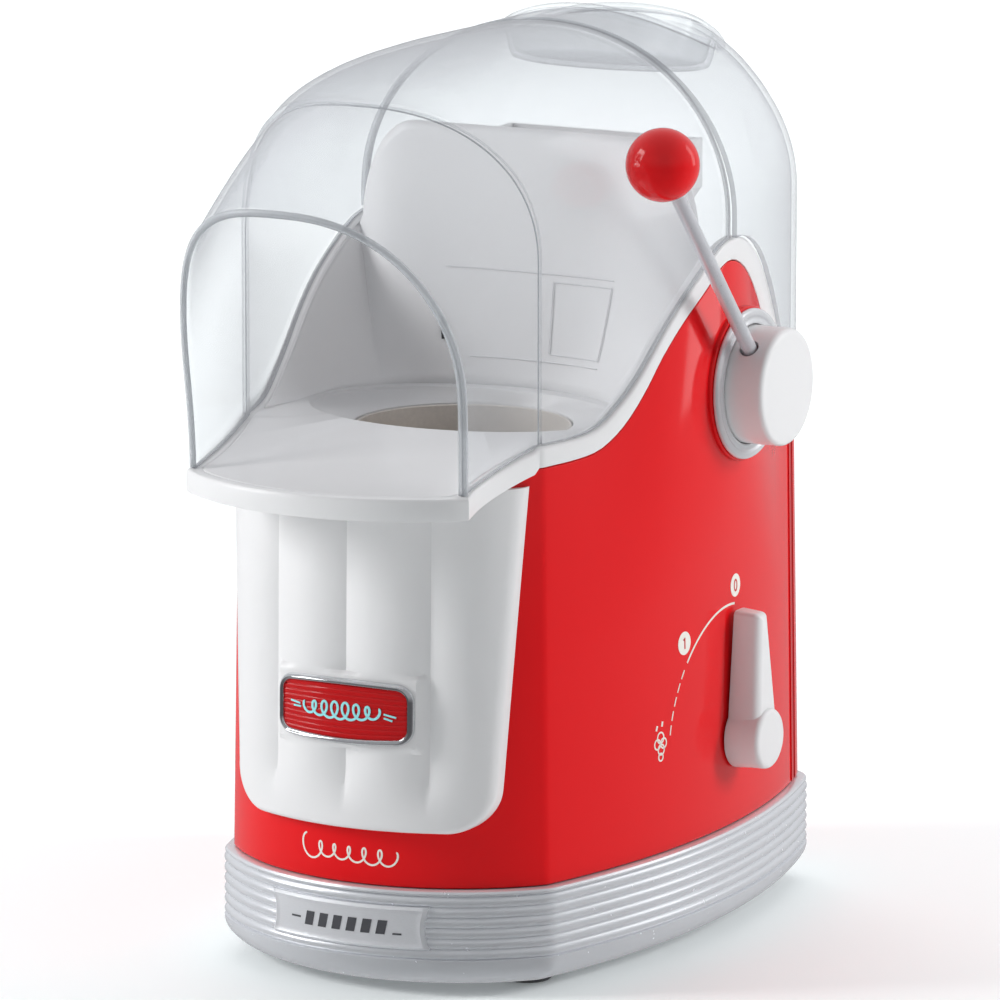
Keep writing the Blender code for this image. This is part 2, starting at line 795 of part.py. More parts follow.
def mouth_arch():
    """The hood's front edge: feet on the tray, leaning forward as it rises."""
    half, foot_y, foot_z = MOUTH_FOOT
    sag = TRAY_TIP[1] - TRAY_FRONT_Y
    radius = arc_radius(TRAY_TIP[0], sag)
    points = []
    for share, z in super_arch(ARCH_STEPS, foot_z + FOOT_GAP, 240.0, MOUTH_TOP_Z, 2.25, 2.6):
        lean = MOUTH_LEAN * max(0.0, (z - foot_z) / (MOUTH_TOP_Z - foot_z)) ** 1.7
        x = share * (half + MOUTH_FLARE * smooth_step((z - foot_z) / 60.0))
        bow = math.sqrt(radius**2 - x**2) - math.sqrt(radius**2 - half**2)
        points.append((x, foot_y - bow - lean, z))
    return points


def dome_arch(half, foot, bow, side_z, top_z, power_z, power_x):
    """A cross arch of the dome over a foot at y; bow is how far its middle stands forward."""
    y = foot[0]
    points = []
    for share, z in super_arch(ARCH_STEPS, foot[1], side_z, top_z, power_z, power_x):
        points.append((share * half, y - bow * (1 - share**2), z))
    return points


def front_hood_arches():
    """Arches from the crease back to the joint with the rear hood."""
    outline = plan(HOOD_INSET)
    first = FRONT_STEPS + FILLET_STEPS - 1
    side = outline[first:first + FILLET_STEPS + SIDE_STEPS]
    feet = [point for point in side if point[1] < JOINT_Y - 6]
    radius = SIDE_RADIUS - HOOD_INSET
    end_x = SIDE_CENTRE.x + math.sqrt(radius**2 - (JOINT_Y - SIDE_MIDDLE_Y)**2)
    feet.append((end_x, JOINT_Y))
    front_bow = feet[0][1] - (FRONT_CORNER_Y - HOOD_FRONT_BOW + HOOD_INSET)
    arches = []
    for x, y in feet:
        along = (y - feet[0][1]) / (JOINT_Y - feet[0][1])
        bow = front_bow * (1 - smooth_step(along))
        power_z, power_x = 2.2 - 0.2 * along, 2.5 - 0.4 * along
        top = smooth_through(RIDGE_CURVE, y - bow)
        foot = (y, rim_height(y) + FOOT_GAP)
        arches.append(dome_arch(x, foot, bow, SHOULDER_Z, top, power_z, power_x))
    return arches


def make_front_hood(parent):
    dome = front_hood_arches()
    mouth = mouth_arch()
    tunnel = []
    steps = 5
    for k in range(steps):
        t = k / steps
        row = []
        for near, far in zip(mouth, dome[0]):
            point = Vector(near).lerp(Vector(far), t)
            point.z += 4.0 * math.sin(math.pi * t) * smooth_step((point.z - 230) / 60)
            point.x -= math.copysign(1.2, point.x) * math.sin(math.pi * t) if abs(point.x) > 1 else 0
            row.append(point)
        tunnel.append(row)
    hood = piece("front_hood", sheet(tunnel + dome), clear_plastic(), parent)
    thicken(hood, HOOD_WALL)


def rear_ridge(y):
    """Height of the rear hood's middle line: level, then a quarter ellipse down its back."""
    back = BACK_CENTRE.y + BACK_RADIUS - REAR_HOOD_INSET
    fall = max(0.0, min(1.0, (y - BACK_SHOULDER_Y) / (back - BACK_SHOULDER_Y)))
    return BACK_EDGE_Z + (HOOD_TOP_Z - BACK_EDGE_Z) * math.sqrt(1 - fall**2)


def rear_hood_arches():
    outline = plan(REAR_HOOD_INSET)
    start_y = JOINT_Y + 1.0
    feet = [p for p in outline[:len(outline) // 2 + 1] if p[0] >= 0 and p[1] > start_y + 5]
    radius = SIDE_RADIUS - REAR_HOOD_INSET
    start_x = SIDE_CENTRE.x + math.sqrt(radius**2 - (start_y - SIDE_MIDDLE_Y)**2)
    arches = []
    for x, y in [(start_x, start_y)] + feet:
        foot = (y, rim_height(y) + FOOT_GAP)
        arches.append(dome_arch(max(x, 0.0), foot, 0.0, SHOULDER_Z, rear_ridge(y), 2.0, 2.05))
    return arches


def rear_hood_height(x, y):
    """Height of the rear hood's outer face over a place."""
    radius = SIDE_RADIUS - REAR_HOOD_INSET
    half = SIDE_CENTRE.x + math.sqrt(radius**2 - (y - SIDE_MIDDLE_Y)**2)
    rise = (1 - abs(x / half)**2.05)**0.5
    return SHOULDER_Z + (rear_ridge(y) - SHOULDER_Z) * rise


def cap_oval(inset, lift=0.0, z=None, steps=32):
    """A loop round the filler opening, on the hood's surface or at one height."""
    loop = []
    for k in range(steps):
        angle = math.tau * k / steps
        x = (CAP_RX - inset) * math.cos(angle)
        y = CAP_Y + (CAP_RY - inset) * math.sin(angle)
        loop.append((x, y, rear_hood_height(x, y) + lift if z is None else z))
    return loop


def make_rear_hood(appliance):
    hood = piece("rear_hood", sheet(rear_hood_arches()), clear_plastic(), appliance)
    thicken(hood, HOOD_WALL)
    boolean(hood, loft([cap_oval(0, z=z) for z in (320.0, 380.0)]))


def make_filler_cap(parent):
    """An oval measuring dish that hangs by its rim in the filler opening."""
    loops = [
        cap_oval(6.0, z=CAP_FLOOR_Z - 2.0), cap_oval(2.5, z=CAP_FLOOR_Z + 2.0),
        cap_oval(0.6, 0.6), cap_oval(-3.0, 0.6), cap_oval(-2.4, 2.2), cap_oval(2.4, 2.2),
        cap_oval(4.6, z=CAP_FLOOR_Z + 3.0), cap_oval(8.0, z=CAP_FLOOR_Z),
    ]
    piece("filler_cap", loft(loops), clear_plastic(), parent)


# ---------------------------------------------------------------- kernel feed

def box_loop(half_x, low_y, high_y, z):
    return [(-half_x, low_y, z), (half_x, low_y, z), (half_x, high_y, z), (-half_x, high_y, z)]


def make_hopper(appliance):
    """An open bin that narrows to a slot over the dosing drum."""
    loops = [
        box_loop(18, 22, 38, 234.5), box_loop(18, 22, 38, 240), box_loop(44, 12, 74, 292),
        box_loop(44, 12, 74, 312), box_loop(42, 14, 72, 312), box_loop(42, 14, 72, 293),
        box_loop(15.5, 24, 36, 241), box_loop(15.5, 24, 36, 234.5),
    ]
    piece("kernel_hopper", loft(loops, joined=True), white_plastic(), appliance)


def make_dosing(appliance, lever):
    case = block((-20, 13, 211), (20, 47, 234.2))
    housing = piece("dosing_housing", case, white_plastic(), appliance)
    boolean(housing, rod(DRUM_RADIUS + GAP, -17, 25, (0, LEVER_Y, LEVER_Z), "X"))
    boolean(housing, rod(SHAFT_RADIUS + 0.25, -25, 0, (0, LEVER_Y, LEVER_Z), "X"))
    boolean(housing, block((-15, 24, LEVER_Z), (15, 36, 240)))
    boolean(housing, block((-12, 22, 200), (12, 38, LEVER_Z)))
    drum_shape = tube(SHAFT_RADIUS + GAP, DRUM_RADIUS, -16, 19, (0, LEVER_Y, LEVER_Z), "X")
    drum = piece("dosing_drum", drum_shape, white_plastic(), lever)
    pocket = block((-13, LEVER_Y - 4.5, LEVER_Z + 5.6), (13, LEVER_Y + 4.5, LEVER_Z + 12))
    boolean(drum, pocket)
    channel = [(14.0, 0.0), (14.0, 3.3), (12.6, 3.3), (12.6, 1.4)]
    section = channel + [(-x, z) for x, z in reversed(channel)]
    ends = ((-4.5, 204.3), (40.0, 207.4))
    loops = [[(x, y, base_z + z) for x, z in section] for y, base_z in ends]
    piece("kernel_chute", loft(loops), white_plastic(), appliance)


# ---------------------------------------------------------------- lever

def turned_hub(profile):
    """A turned body whose profile leaves the axis at both ends but touches it in the middle."""
    start = profile.index((0, HUB_END_X))
    ordered = profile[start + 1:] + profile[:start + 1]
    return turned(ordered, 32)


def make_lever(appliance, lever):
    centre = (0, LEVER_Y, LEVER_Z)
    step = [
        (24.6, 74), (31.0, 74), (31.0, 86.8), (30.0, 87.6), (27.6, 87.8), (27.0, 89.2), (24.6, 89.2),
    ]
    ring_piece = piece("lever_ring", placed(turned(step, 32), centre, "X"), silver_paint(), appliance)
    heights = (180, 270)
    boolean(ring_piece, loft([level_ring(inset_at(z) - GAP, z) for z in heights]))
    hub_profile = [
        (SHAFT_RADIUS + GAP, 86.3), (HUB_RADIUS, 86.3), (HUB_RADIUS, HUB_END_X - 2.0),
        (HUB_RADIUS - 0.7, HUB_END_X - 0.6), (HUB_RADIUS - 2.2, HUB_END_X), (0, HUB_END_X),
        (0, 99.0), (SHAFT_RADIUS + GAP, 99.0),
    ]
    hub = placed(turned_hub(hub_profile), centre, "X")
    hub_piece = piece("lever_hub", hub, white_plastic(), lever)
    aim = Matrix.Rotation(LEVER_ANGLE, 4, "X")
    start = Matrix.Translation((ROD_X, LEVER_Y, LEVER_Z)) @ aim

    def along(bm):
        bmesh.ops.transform(bm, matrix=start, verts=bm.verts)
        return bm

    boolean(hub_piece, along(rod(ROD_RADIUS + 0.6, 9, 30, steps=16)))
    piece("lever_rod", along(rod(ROD_RADIUS, 10, LEVER_LENGTH - 6.5, steps=16)), steel(), lever)
    ball = bmesh.new()
    bmesh.ops.create_uvsphere(ball, u_segments=24, v_segments=14, radius=BALL_RADIUS)
    bmesh.ops.translate(ball, vec=(0, 0, LEVER_LENGTH), verts=ball.verts)
    ball_piece = piece("lever_ball", along(ball), red_gloss(), lever)
    boolean(ball_piece, along(rod(ROD_RADIUS + GAP, LEVER_LENGTH - 20, LEVER_LENGTH - 6, steps=16)))
    piece("lever_shaft", rod(SHAFT_RADIUS, -22, 98.7, centre, "X"), steel(), lever)
    bush = [
        (SHAFT_RADIUS + 0.25, 72.0), (10.5, 72.0), (10.5, 74.2), (7.7, 74.2), (7.7, 85.6),
        (SHAFT_RADIUS + 0.25, 85.6),
    ]
    piece("shaft_bush", placed(turned(bush), centre, "X"), black_plastic(), appliance)
    clip = tube(SHAFT_RADIUS + 0.2, 7.5, -21.6, -20.6, centre, "X")
    clip_piece = piece("shaft_clip", clip, steel(), lever)
    boolean(clip_piece, block((-23, LEVER_Y - 2.5, LEVER_Z), (-19, LEVER_Y + 2.5, LEVER_Z + 12)))


# ---------------------------------------------------------------- switch

def knob_outline(inset):
    """A pointer seen from the side: a round foot and a narrower blade with a blunt tip, as (y, z)."""
    foot_r, waist, tip = (size - inset for size in (KNOB_RADIUS, KNOB_WAIST, KNOB_TIP))
    corner = max(KNOB_CORNER - inset, 0.3)
    foot = Vector((SWITCH_Y, SWITCH_Z))
    lean = math.acos(waist / foot_r)
    points = arc(foot, foot_r, math.pi - lean, math.tau + lean, 14)
    points.append((foot.x + waist, foot.y + foot_r * math.sin(lean)))
    top = foot.y + KNOB_LENGTH - inset - corner
    points += arc(Vector((foot.x + tip - corner, top)), corner, 0, math.pi / 2, 3)
    points.append((foot.x + tip - corner, top + corner))
    points += arc(Vector((foot.x - tip + corner, top)), corner, math.pi / 2, math.pi, 3)
    points.append((foot.x - tip, top))
    return points


def make_switch(appliance, dial):
    centre = (0, SWITCH_Y, SWITCH_Z)
    loops = [
        [(x, y, z) for y, z in knob_outline(inset)]
        for x, inset in ((KNOB_X, 0.0), (KNOB_END_X - 2.0, 0.8), (KNOB_END_X, 2.6))
    ]
    knob = piece("switch_knob", loft(loops), white_plastic(), dial)
    boolean(knob, rod(3.3, KNOB_X - 1, 98.0, centre, "X", 16))
    piece("switch_spindle", rod(3.0, 76.2, 97.6, centre, "X", 16), brass(), dial)
    low, high = (58.0, SWITCH_Y - 14, SWITCH_Z - 14), (75.8, SWITCH_Y + 14, SWITCH_Z + 14)
    piece("switch_body", block(low, high), black_plastic(), appliance)
    nut = piece("switch_nut", rod(7.0, 77.0, 79.5, centre, "X", 6), brass(), appliance)
    boolean(nut, rod(3.3, 76, 80, centre, "X", 16))


# ---------------------------------------------------------------- chamber, heater and fan

def make_chamber(appliance):
    centre = (0, AXIS_Y, 0)
    cup = [
        (0, 112.0), (41.0, 112.0), (43.0, 114.0), (43.0, 202.2), (51.0, 202.2), (51.0, 203.6),
        (42.0, 203.6), (42.0, 114.6), (40.6, 113.2), (0, 113.2),
    ]
    chamber = piece("popping_chamber", placed(turned(cup, 28), centre), aluminium(), appliance)
    slots = []
    for k in range(12):
        slot = block((34, -1.6, 117), (50, 1.6, 127))
        turn = Matrix.Rotation(math.tau * k / 12, 4, "Z")
        bmesh.ops.transform(slot, matrix=Matrix.Translation(centre) @ turn, verts=slot.verts)
        slots.append(slot)
    boolean(chamber, merged(slots))
    sleeve = [
        (SLEEVE_RADIUS, 86.3), (SLEEVE_RADIUS + 6, 86.3), (SLEEVE_RADIUS + 6, 88.3),
        (SLEEVE_RADIUS + 1.5, 88.3), (SLEEVE_RADIUS + 1.5, 201.9), (48.0, 201.9), (48.0, 200.4),
        (SLEEVE_RADIUS, 200.4),
    ]
    piece("chamber_sleeve", placed(turned(sleeve, 28), centre), aluminium(), appliance)
    reach, half = 38, 0.6
    plate = block((-reach, AXIS_Y - half, 89), (reach, AXIS_Y + half, 109))
    former = piece("heater_former", plate, mica(), appliance)
    cross = block((-half, AXIS_Y - reach, 89), (half, AXIS_Y + reach, 109))
    boolean(former, cross, "UNION")
    make_heater_coil(appliance)
    thermostat = [(0, 0), (9, 0), (9, 4), (5, 4), (5, 8), (0, 8)]
    at = (-(SLEEVE_RADIUS + 1.5 + GAP), AXIS_Y, 150)
    piece("thermostat", placed(turned(thermostat, 16), at, "-X"), black_plastic(), appliance)
    fuse = rod(2.5, -9, 9, (-(SLEEVE_RADIUS + 5), AXIS_Y, 128), "Y", 12)
    piece("thermal_fuse", fuse, steel(), appliance)


def make_heater_coil(appliance):
    """A square-section helix wound round the edges of the crossed mica plates."""
    turns, per_turn, radius, half = 3, 20, 39.8, 0.9
    loops = []
    for k in range(turns * per_turn + 1):
        angle = math.tau * k / per_turn
        z = 91.5 + 15.0 * k / (turns * per_turn)
        inner, outer = radius - half, radius + half
        corners = ((inner, -half), (outer, -half), (outer, half), (inner, half))
        across, along = math.cos(angle), math.sin(angle)
        loops.append([(r * across, AXIS_Y + r * along, z + dz) for r, dz in corners])
    piece("heater_coil", loft(loops), steel(), appliance)


def make_fan(appliance, spin):
    centre = (0, AXIS_Y, 0)
    casing = [
        (20.0, 56.0), (50.0, 56.0), (50.0, 80.0), (59.0, 80.0), (59.0, 86.0), (36.0, 86.0),
        (36.0, 83.5), (48.0, 82.0), (48.0, 58.0), (20.0, 58.0),
    ]
    piece("fan_casing", placed(turned(casing, 28), centre), black_plastic(), appliance)
    hub = [(2.3, 61.0), (FAN_RADIUS, 61.0), (FAN_RADIUS, 62.4), (6.5, 62.4), (6.5, 74.0), (2.3, 74.0)]
    impeller = piece("fan_impeller", placed(turned(hub, 24), centre), black_plastic(), spin)
    for k in range(8):
        blade = block((6.0, -0.8, 61.8), (FAN_RADIUS - 0.5, 0.8, 74.0))
        turn = Matrix.Rotation(math.tau * k / 8 + 0.1, 4, "Z")
        bmesh.ops.transform(blade, matrix=Matrix.Translation(centre) @ turn, verts=blade.verts)
        boolean(impeller, blade, "UNION")
    can = [
        (3.2, 13.0), (18.0, 13.0), (19.0, 14.0), (19.0, 46.0), (18.0, 47.5), (7.0, 47.5),
        (7.0, 50.0), (3.2, 50.0),
    ]
    piece("motor_can", placed(turned(can, 24), centre), steel(), appliance)
    piece("motor_shaft", rod(2.0, 11.0, 76.0, centre, steps=12), steel(), spin)
    bracket = block((-46, AXIS_Y - 12, 50.4), (46, AXIS_Y + 12, 52.4))
    bracket_piece = piece("motor_bracket", bracket, steel(), appliance)
    boolean(bracket_piece, rod(4.0, 45, 60, centre, steps=16))
    places = [(-40.0, AXIS_Y, 0), (40.0, AXIS_Y, 0)]
    boolean(bracket_piece, merged([rod(2.0, 45, 60, place, steps=12) for place in places]))
    mount = tube(2.0, 4.5, 52.7, 55.7, steps=12)
    copies("motor_grommet", mount, rubber(), appliance, places)
    board = block((-17, AXIS_Y + 26, 16), (17, AXIS_Y + 27.6, 40))
    piece("rectifier_board", board, look("circuit_board", (0.05, 0.3, 0.12), 0.5), appliance)
    terminal = block((-14, 92, 14), (14, 102, 26))
    piece("terminal_block", terminal, white_plastic(), appliance)


# ---------------------------------------------------------------- assembly

def main():
    clear_scene()
    right = ROD_X + BALL_RADIUS
    left = -(CORNER_X + SIDE_SAG + BASE_OUTSET)
    front = MOUTH_FOOT[1] + TRAY_FRONT_Y - TRAY_TIP[1] - MOUTH_LEAN
    back = BACK_CENTRE.y + BACK_RADIUS + 8.0
    appliance = empty("appliance", None, (-(right + left) / 2, -(front + back) / 2, 0))
    lever = empty("lever_axis", appliance, (0, LEVER_Y, LEVER_Z))
    dial = empty("switch_axis", appliance, (0, SWITCH_Y, SWITCH_Z))
    spin = empty("fan_axis", appliance, (0, AXIS_Y, 0))
    hood = empty("hood_lift", appliance, (0, 0, TRAY_Z))
    cap = empty("cap_lift", appliance, (0, CAP_Y, HOOD_TOP_Z))
    make_base(appliance)
    make_nameplate(appliance)
    make_feet(appliance)
    make_base_screws(appliance)
    make_cord_gland(appliance)
    make_body(appliance)
    make_front_panel(appliance)
    make_badge(appliance)
    make_collar(appliance)
    make_chute_wall(appliance)
    make_front_hood(hood)
    make_rear_hood(appliance)
    make_filler_cap(cap)
    make_hopper(appliance)
    make_dosing(appliance, lever)
    make_lever(appliance, lever)
    make_switch(appliance, dial)
    make_chamber(appliance)
    make_fan(appliance, spin)


main()
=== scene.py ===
"""The finished look of the popcorn maker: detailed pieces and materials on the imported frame.

Sizes are in millimetres in the object's own frame, whose X = 0 is the body's middle plane. SHIFT
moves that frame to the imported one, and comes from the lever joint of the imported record.
"""

import functools
import json
import math

import bmesh
import bpy
from mathutils import Matrix, Vector

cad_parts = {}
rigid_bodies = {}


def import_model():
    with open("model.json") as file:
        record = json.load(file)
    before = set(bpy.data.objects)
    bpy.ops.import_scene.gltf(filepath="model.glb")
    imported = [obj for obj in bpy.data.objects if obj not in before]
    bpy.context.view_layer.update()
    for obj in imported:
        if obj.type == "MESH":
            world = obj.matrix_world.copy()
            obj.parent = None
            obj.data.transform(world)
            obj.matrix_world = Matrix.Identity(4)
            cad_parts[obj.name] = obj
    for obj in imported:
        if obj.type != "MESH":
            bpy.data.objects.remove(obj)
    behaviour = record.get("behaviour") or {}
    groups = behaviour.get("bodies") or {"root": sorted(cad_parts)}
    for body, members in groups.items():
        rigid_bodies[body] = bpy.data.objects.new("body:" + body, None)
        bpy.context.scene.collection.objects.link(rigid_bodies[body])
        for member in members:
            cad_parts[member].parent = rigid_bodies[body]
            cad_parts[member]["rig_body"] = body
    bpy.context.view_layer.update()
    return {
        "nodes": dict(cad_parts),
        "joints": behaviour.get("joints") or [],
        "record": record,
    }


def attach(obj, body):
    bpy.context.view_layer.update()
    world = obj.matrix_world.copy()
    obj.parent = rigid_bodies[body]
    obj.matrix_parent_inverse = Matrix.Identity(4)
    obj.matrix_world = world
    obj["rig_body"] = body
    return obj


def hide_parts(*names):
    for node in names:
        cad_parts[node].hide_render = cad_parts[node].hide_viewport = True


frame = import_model()

MM = 0.001
HOUSING, LEVER, SWITCH, HOOD, CAP = "housing", "lever", "switch", "hood", "cap"

# Plan of the body where it meets the base
CORNER_X = 71.0
FRONT_CORNER_Y = -109.0
BACK_CORNER_Y = 112.0
FRONT_SAG = 33.0
SIDE_SAG = 17.5
BACK_SAG = 14.0
CORNER_RADIUS = 11.0
DRAFT = 3.0 / 174.0

# Levels
FLOOR_Z = 3.0
BODY_Z = 43.0
TRAY_Z = 217.0
HOOD_TOP_Z = 364.4
SHOULDER_Z = 290.0

# Base
BASE_OUTSET = 3.93
RIB_COUNT = 6
RIB_PITCH = 4.2
RIB_DEPTH = 1.7
RIB_Z = 15.5
LEDGE = ((1.2, 40.75), (0.4, 41.1), (0.3, 41.9), (0.8, 42.7))  # set back from the ribs, height
BASE_INSIDE = ((6.0, BODY_Z), (6.0, 38.0), (2.4, 36.0), (2.4, 13.0), (14.0, 5.6))
PLATE_Z = 28.0
PLATE_HALF = (35.0, 8.5)

# Collar, tray and funnel
LIP = 9.0
TRAY_SLOPE = 0.226
TRAY_TIP = (62.8, -158.0)
TRAY_FRONT_Y = -181.5
FUNNEL_Y = -48.0
FUNNEL_RX = 65.0
FUNNEL_RY = 49.0
CHAMBER_RADIUS = 44.0
FUNNEL_OVALS = (
    (FUNNEL_RX + 1.0, FUNNEL_RY - 3.0, TRAY_Z - 0.4), (FUNNEL_RX, FUNNEL_RY - 4.0, TRAY_Z - 0.8),
    (FUNNEL_RX - 0.6, FUNNEL_RY - 4.5, TRAY_Z - 1.8), (54.0, CHAMBER_RADIUS + 0.3, 212.6),
    (CHAMBER_RADIUS + 1.5, CHAMBER_RADIUS, 211.4), (CHAMBER_RADIUS, CHAMBER_RADIUS - 0.2, 210.6),
    (CHAMBER_RADIUS, CHAMBER_RADIUS, 204.0), (46.5, 46.5, 204.0), (67.5, 51.5, TRAY_Z - 4.0),
)
CUP_PROFILE = (
    (0, 112.2), (38.0, 112.2), (41.4, 113.0), (43.0, 115.0), (43.2, 202.4), (43.5, 209.6),
    (43.1, 210.2), (42.5, 209.8), (42.2, 202.4), (42.0, 116.0), (40.6, 114.2), (37.6, 113.4),
    (14.0, 113.4), (10.0, 115.6), (0, 116.2),
)
AIR_SLOTS = 18
RIM_CURVE = (
    (-140, 217.0), (-90, 217.6), (-76, 220.2), (-63, 227.4), (-51, 236.2), (-36, 249.6), (-22, 260.2),
    (-5, 270.4), (8, 277.2), (18, 280.4), (27, 281.3), (36, 279.6), (47, 274.0), (58, 263.8),
    (68, 250.8), (78, 235.6), (88, 223.6), (98, 218.0), (130, 217.0),
)
RED_CURVE = (
    (-140, 207.5), (-125, 207.5), (-105, 208.6), (-88, 209.4), (-76, 211.4), (-62, 218.4), (-48, 229.8),
    (-36, 241.6), (-20, 253.4), (0, 264.4), (10, 269.8), (19, 272.3), (28, 271.2), (38, 265.8),
    (47, 256.8), (56, 244.0), (66, 228.0), (76, 214.6), (86, 209.4), (102, 208.6), (130, 208.5),
)
RED_EDGE_Z = 209.0  # the red shell's top edge away from its wave
TRAY_SIDE_CURVE = ((-158, 62.8), (-146, 61.6), (-133, 62.4), (-118, 65.2), (-107, 68.4))
CHUTE_FRONT_Y = -88.0
BULKHEAD_Y = 8.0
BULKHEAD_TOP_Z = 321.0
BULKHEAD_SHOULDER = 24.0
RIM_SHARE = 0.45  # share of each half of the scoop that runs along the collar's rim
SHOULDER_SHARE = 0.4  # share of the bulkhead's half that its round shoulder takes

# Hood
HOOD_INSET = 4.4
REAR_HOOD_INSET = 2.0
HOOD_WALL = 2.2
FOOT_GAP = 0.5
MOUTH_FOOT = (60.4, -157.6, 205.0)
MOUTH_TOP_Z = 316.0
MOUTH_LEAN = 20.0
MOUTH_FLARE = 1.4
HOOD_FRONT_BOW = 29.0
CREASE_Z = 240.0
TUNNEL_STEPS = 16
JOINT_Y = 21.5
RIDGE_CURVE = ((-132, 351.4), (-112, 357.6), (-80, 362.0), (-40, 363.8), (0, 364.0), (40, 363.6))
BACK_SHOULDER_Y = 84.0
BACK_EDGE_Z = 300.0
CAP_Y = 77.0
CAP_RX = 48.0
CAP_RY = 24.0
CAP_FLOOR_Z = 341.0

# Lever and switch
LEVER_Y = 30.0
LEVER_Z = 221.6
LEVER_ANGLE = math.radians(42.0)
LEVER_LENGTH = 136.6
ROD_X = 95.8
ROD_RADIUS = 3.0
BALL_RADIUS = 14.5
HUB_RADIUS = 23.8
HUB_END_X = 105.5
SWITCH_Y = 21.0
SWITCH_Z = 79.3
KNOB_X = 88.4
KNOB_END_X = 103.5
KNOB_LENGTH = 52.0
KNOB_FOOT = 13.0
KNOB_WAIST = 9.4
KNOB_TIP = 5.0
DIAL_RADIUS = 56.0
MARK_RADIUS = 62.2

# Front panel and badge
PANEL_BOTTOM_Z = 66.0
PANEL_TOP_Z = 202.0
PANEL_TOP_HALF = 64.5
PANEL_BOTTOM_HALF = 57.0
PANEL_CORNER = 16.0
PANEL_PROUD = 5.5
PANEL_EDGE = 2.4
FLUTE_PITCH = 34.0
FLUTE_DEPTH = 3.5
BADGE_Z = 113.0
BADGE_HALF = (30.0, 13.0)
BEZEL = 2.7
BEZEL_SECTION = (
    (0.0, -0.4), (0.05, 1.0), (0.5, 1.9), (1.2, 2.4), (1.9, 2.2), (2.4, 1.6), (BEZEL, 0.8), (2.8, -0.4),
)
INSERT_CORNER = 4.0
INSERT_PROUD = 1.25
GROOVE_PITCH = 2.15

# Printing
INK = 0.02  # how far the underside of a print stands off its face

# Smoothness
FRONT_STEPS = 32
FILLET_STEPS = 6
SIDE_STEPS = 48
BACK_STEPS = 14
ARCH_STEPS = 72


LEVER_AT = next(j["pos_m"] for j in frame["joints"] if j["name"] == "lever_turn")
SHIFT = Vector((LEVER_AT[0], LEVER_AT[1] - LEVER_Y * MM, 0.0))


# ---- curves

def smooth_through(points, at):
    """Height at a place along a smooth curve that passes through the given points."""
    at = min(max(at, points[0][0]), points[-1][0])
    last = len(points) - 1
    i = max(k for k in range(last) if points[k][0] <= at)

    def slope(k):
        low, high = points[max(k - 1, 0)], points[min(k + 1, last)]
        return (high[1] - low[1]) / (high[0] - low[0])

    (x0, y0), (x1, y1) = points[i], points[i + 1]
    width = x1 - x0
    t = (at - x0) / width
    return (
        (2 * t**3 - 3 * t**2 + 1) * y0 + (t**3 - 2 * t**2 + t) * width * slope(i)
        + (3 * t**2 - 2 * t**3) * y1 + (t**3 - t**2) * width * slope(i + 1)
    )


def smooth_step(t):
    t = min(max(t, 0.0), 1.0)
    return t * t * (3 - 2 * t)


def arc_radius(half_chord, sag):
    return (half_chord**2 + sag**2) / (2 * sag)


FRONT_RADIUS = arc_radius(CORNER_X, FRONT_SAG)
SIDE_MIDDLE_Y = (FRONT_CORNER_Y + BACK_CORNER_Y) / 2
SIDE_RADIUS = arc_radius((BACK_CORNER_Y - FRONT_CORNER_Y) / 2, SIDE_SAG)
BACK_RADIUS = arc_radius(CORNER_X, BACK_SAG)
FRONT_CENTRE = Vector((0.0, FRONT_CORNER_Y - FRONT_SAG + FRONT_RADIUS))
SIDE_CENTRE = Vector((CORNER_X + SIDE_SAG - SIDE_RADIUS, SIDE_MIDDLE_Y))
BACK_CENTRE = Vector((0.0, BACK_CORNER_Y + BACK_SAG - BACK_RADIUS))


def circles_meet(centre_a, radius_a, centre_b, radius_b, near):
    """The meeting point of two circles that lies nearer to a given point."""
    span = centre_b - centre_a
    length = span.length
    along = (length**2 + radius_a**2 - radius_b**2) / (2 * length)
    across = math.sqrt(max(radius_a**2 - along**2, 0.0))
    middle = centre_a + span * (along / length)
    side = Vector((-span.y, span.x)) * (across / length)
    return min((middle + side, middle - side), key=lambda point: (point - near).length)


def angle_from(centre, point):
    return math.atan2(point.y - centre.y, point.x - centre.x)


def arc(centre, radius, start, end, steps):
    """Points along an arc, without its last point."""
    angles = [start + (end - start) * k / steps for k in range(steps)]
    return [(centre.x + radius * math.cos(a), centre.y + radius * math.sin(a)) for a in angles]


def plan_turns(inset):
    """(Front fillet centre, back fillet centre, fillet radius, the six angles) of the outline."""
    fillet = max(CORNER_RADIUS - inset, 3.0)
    front = circles_meet(
        FRONT_CENTRE, FRONT_RADIUS - inset - fillet, SIDE_CENTRE, SIDE_RADIUS - inset - fillet,
        Vector((CORNER_X, FRONT_CORNER_Y)),
    )
    back = circles_meet(
        BACK_CENTRE, BACK_RADIUS - inset - fillet, SIDE_CENTRE, SIDE_RADIUS - inset - fillet,
        Vector((CORNER_X, BACK_CORNER_Y)),
    )
    turns = [
        -math.pi / 2, angle_from(FRONT_CENTRE, front), angle_from(SIDE_CENTRE, front),
        angle_from(SIDE_CENTRE, back), angle_from(BACK_CENTRE, back), math.pi / 2,
    ]
    return front, back, fillet, turns


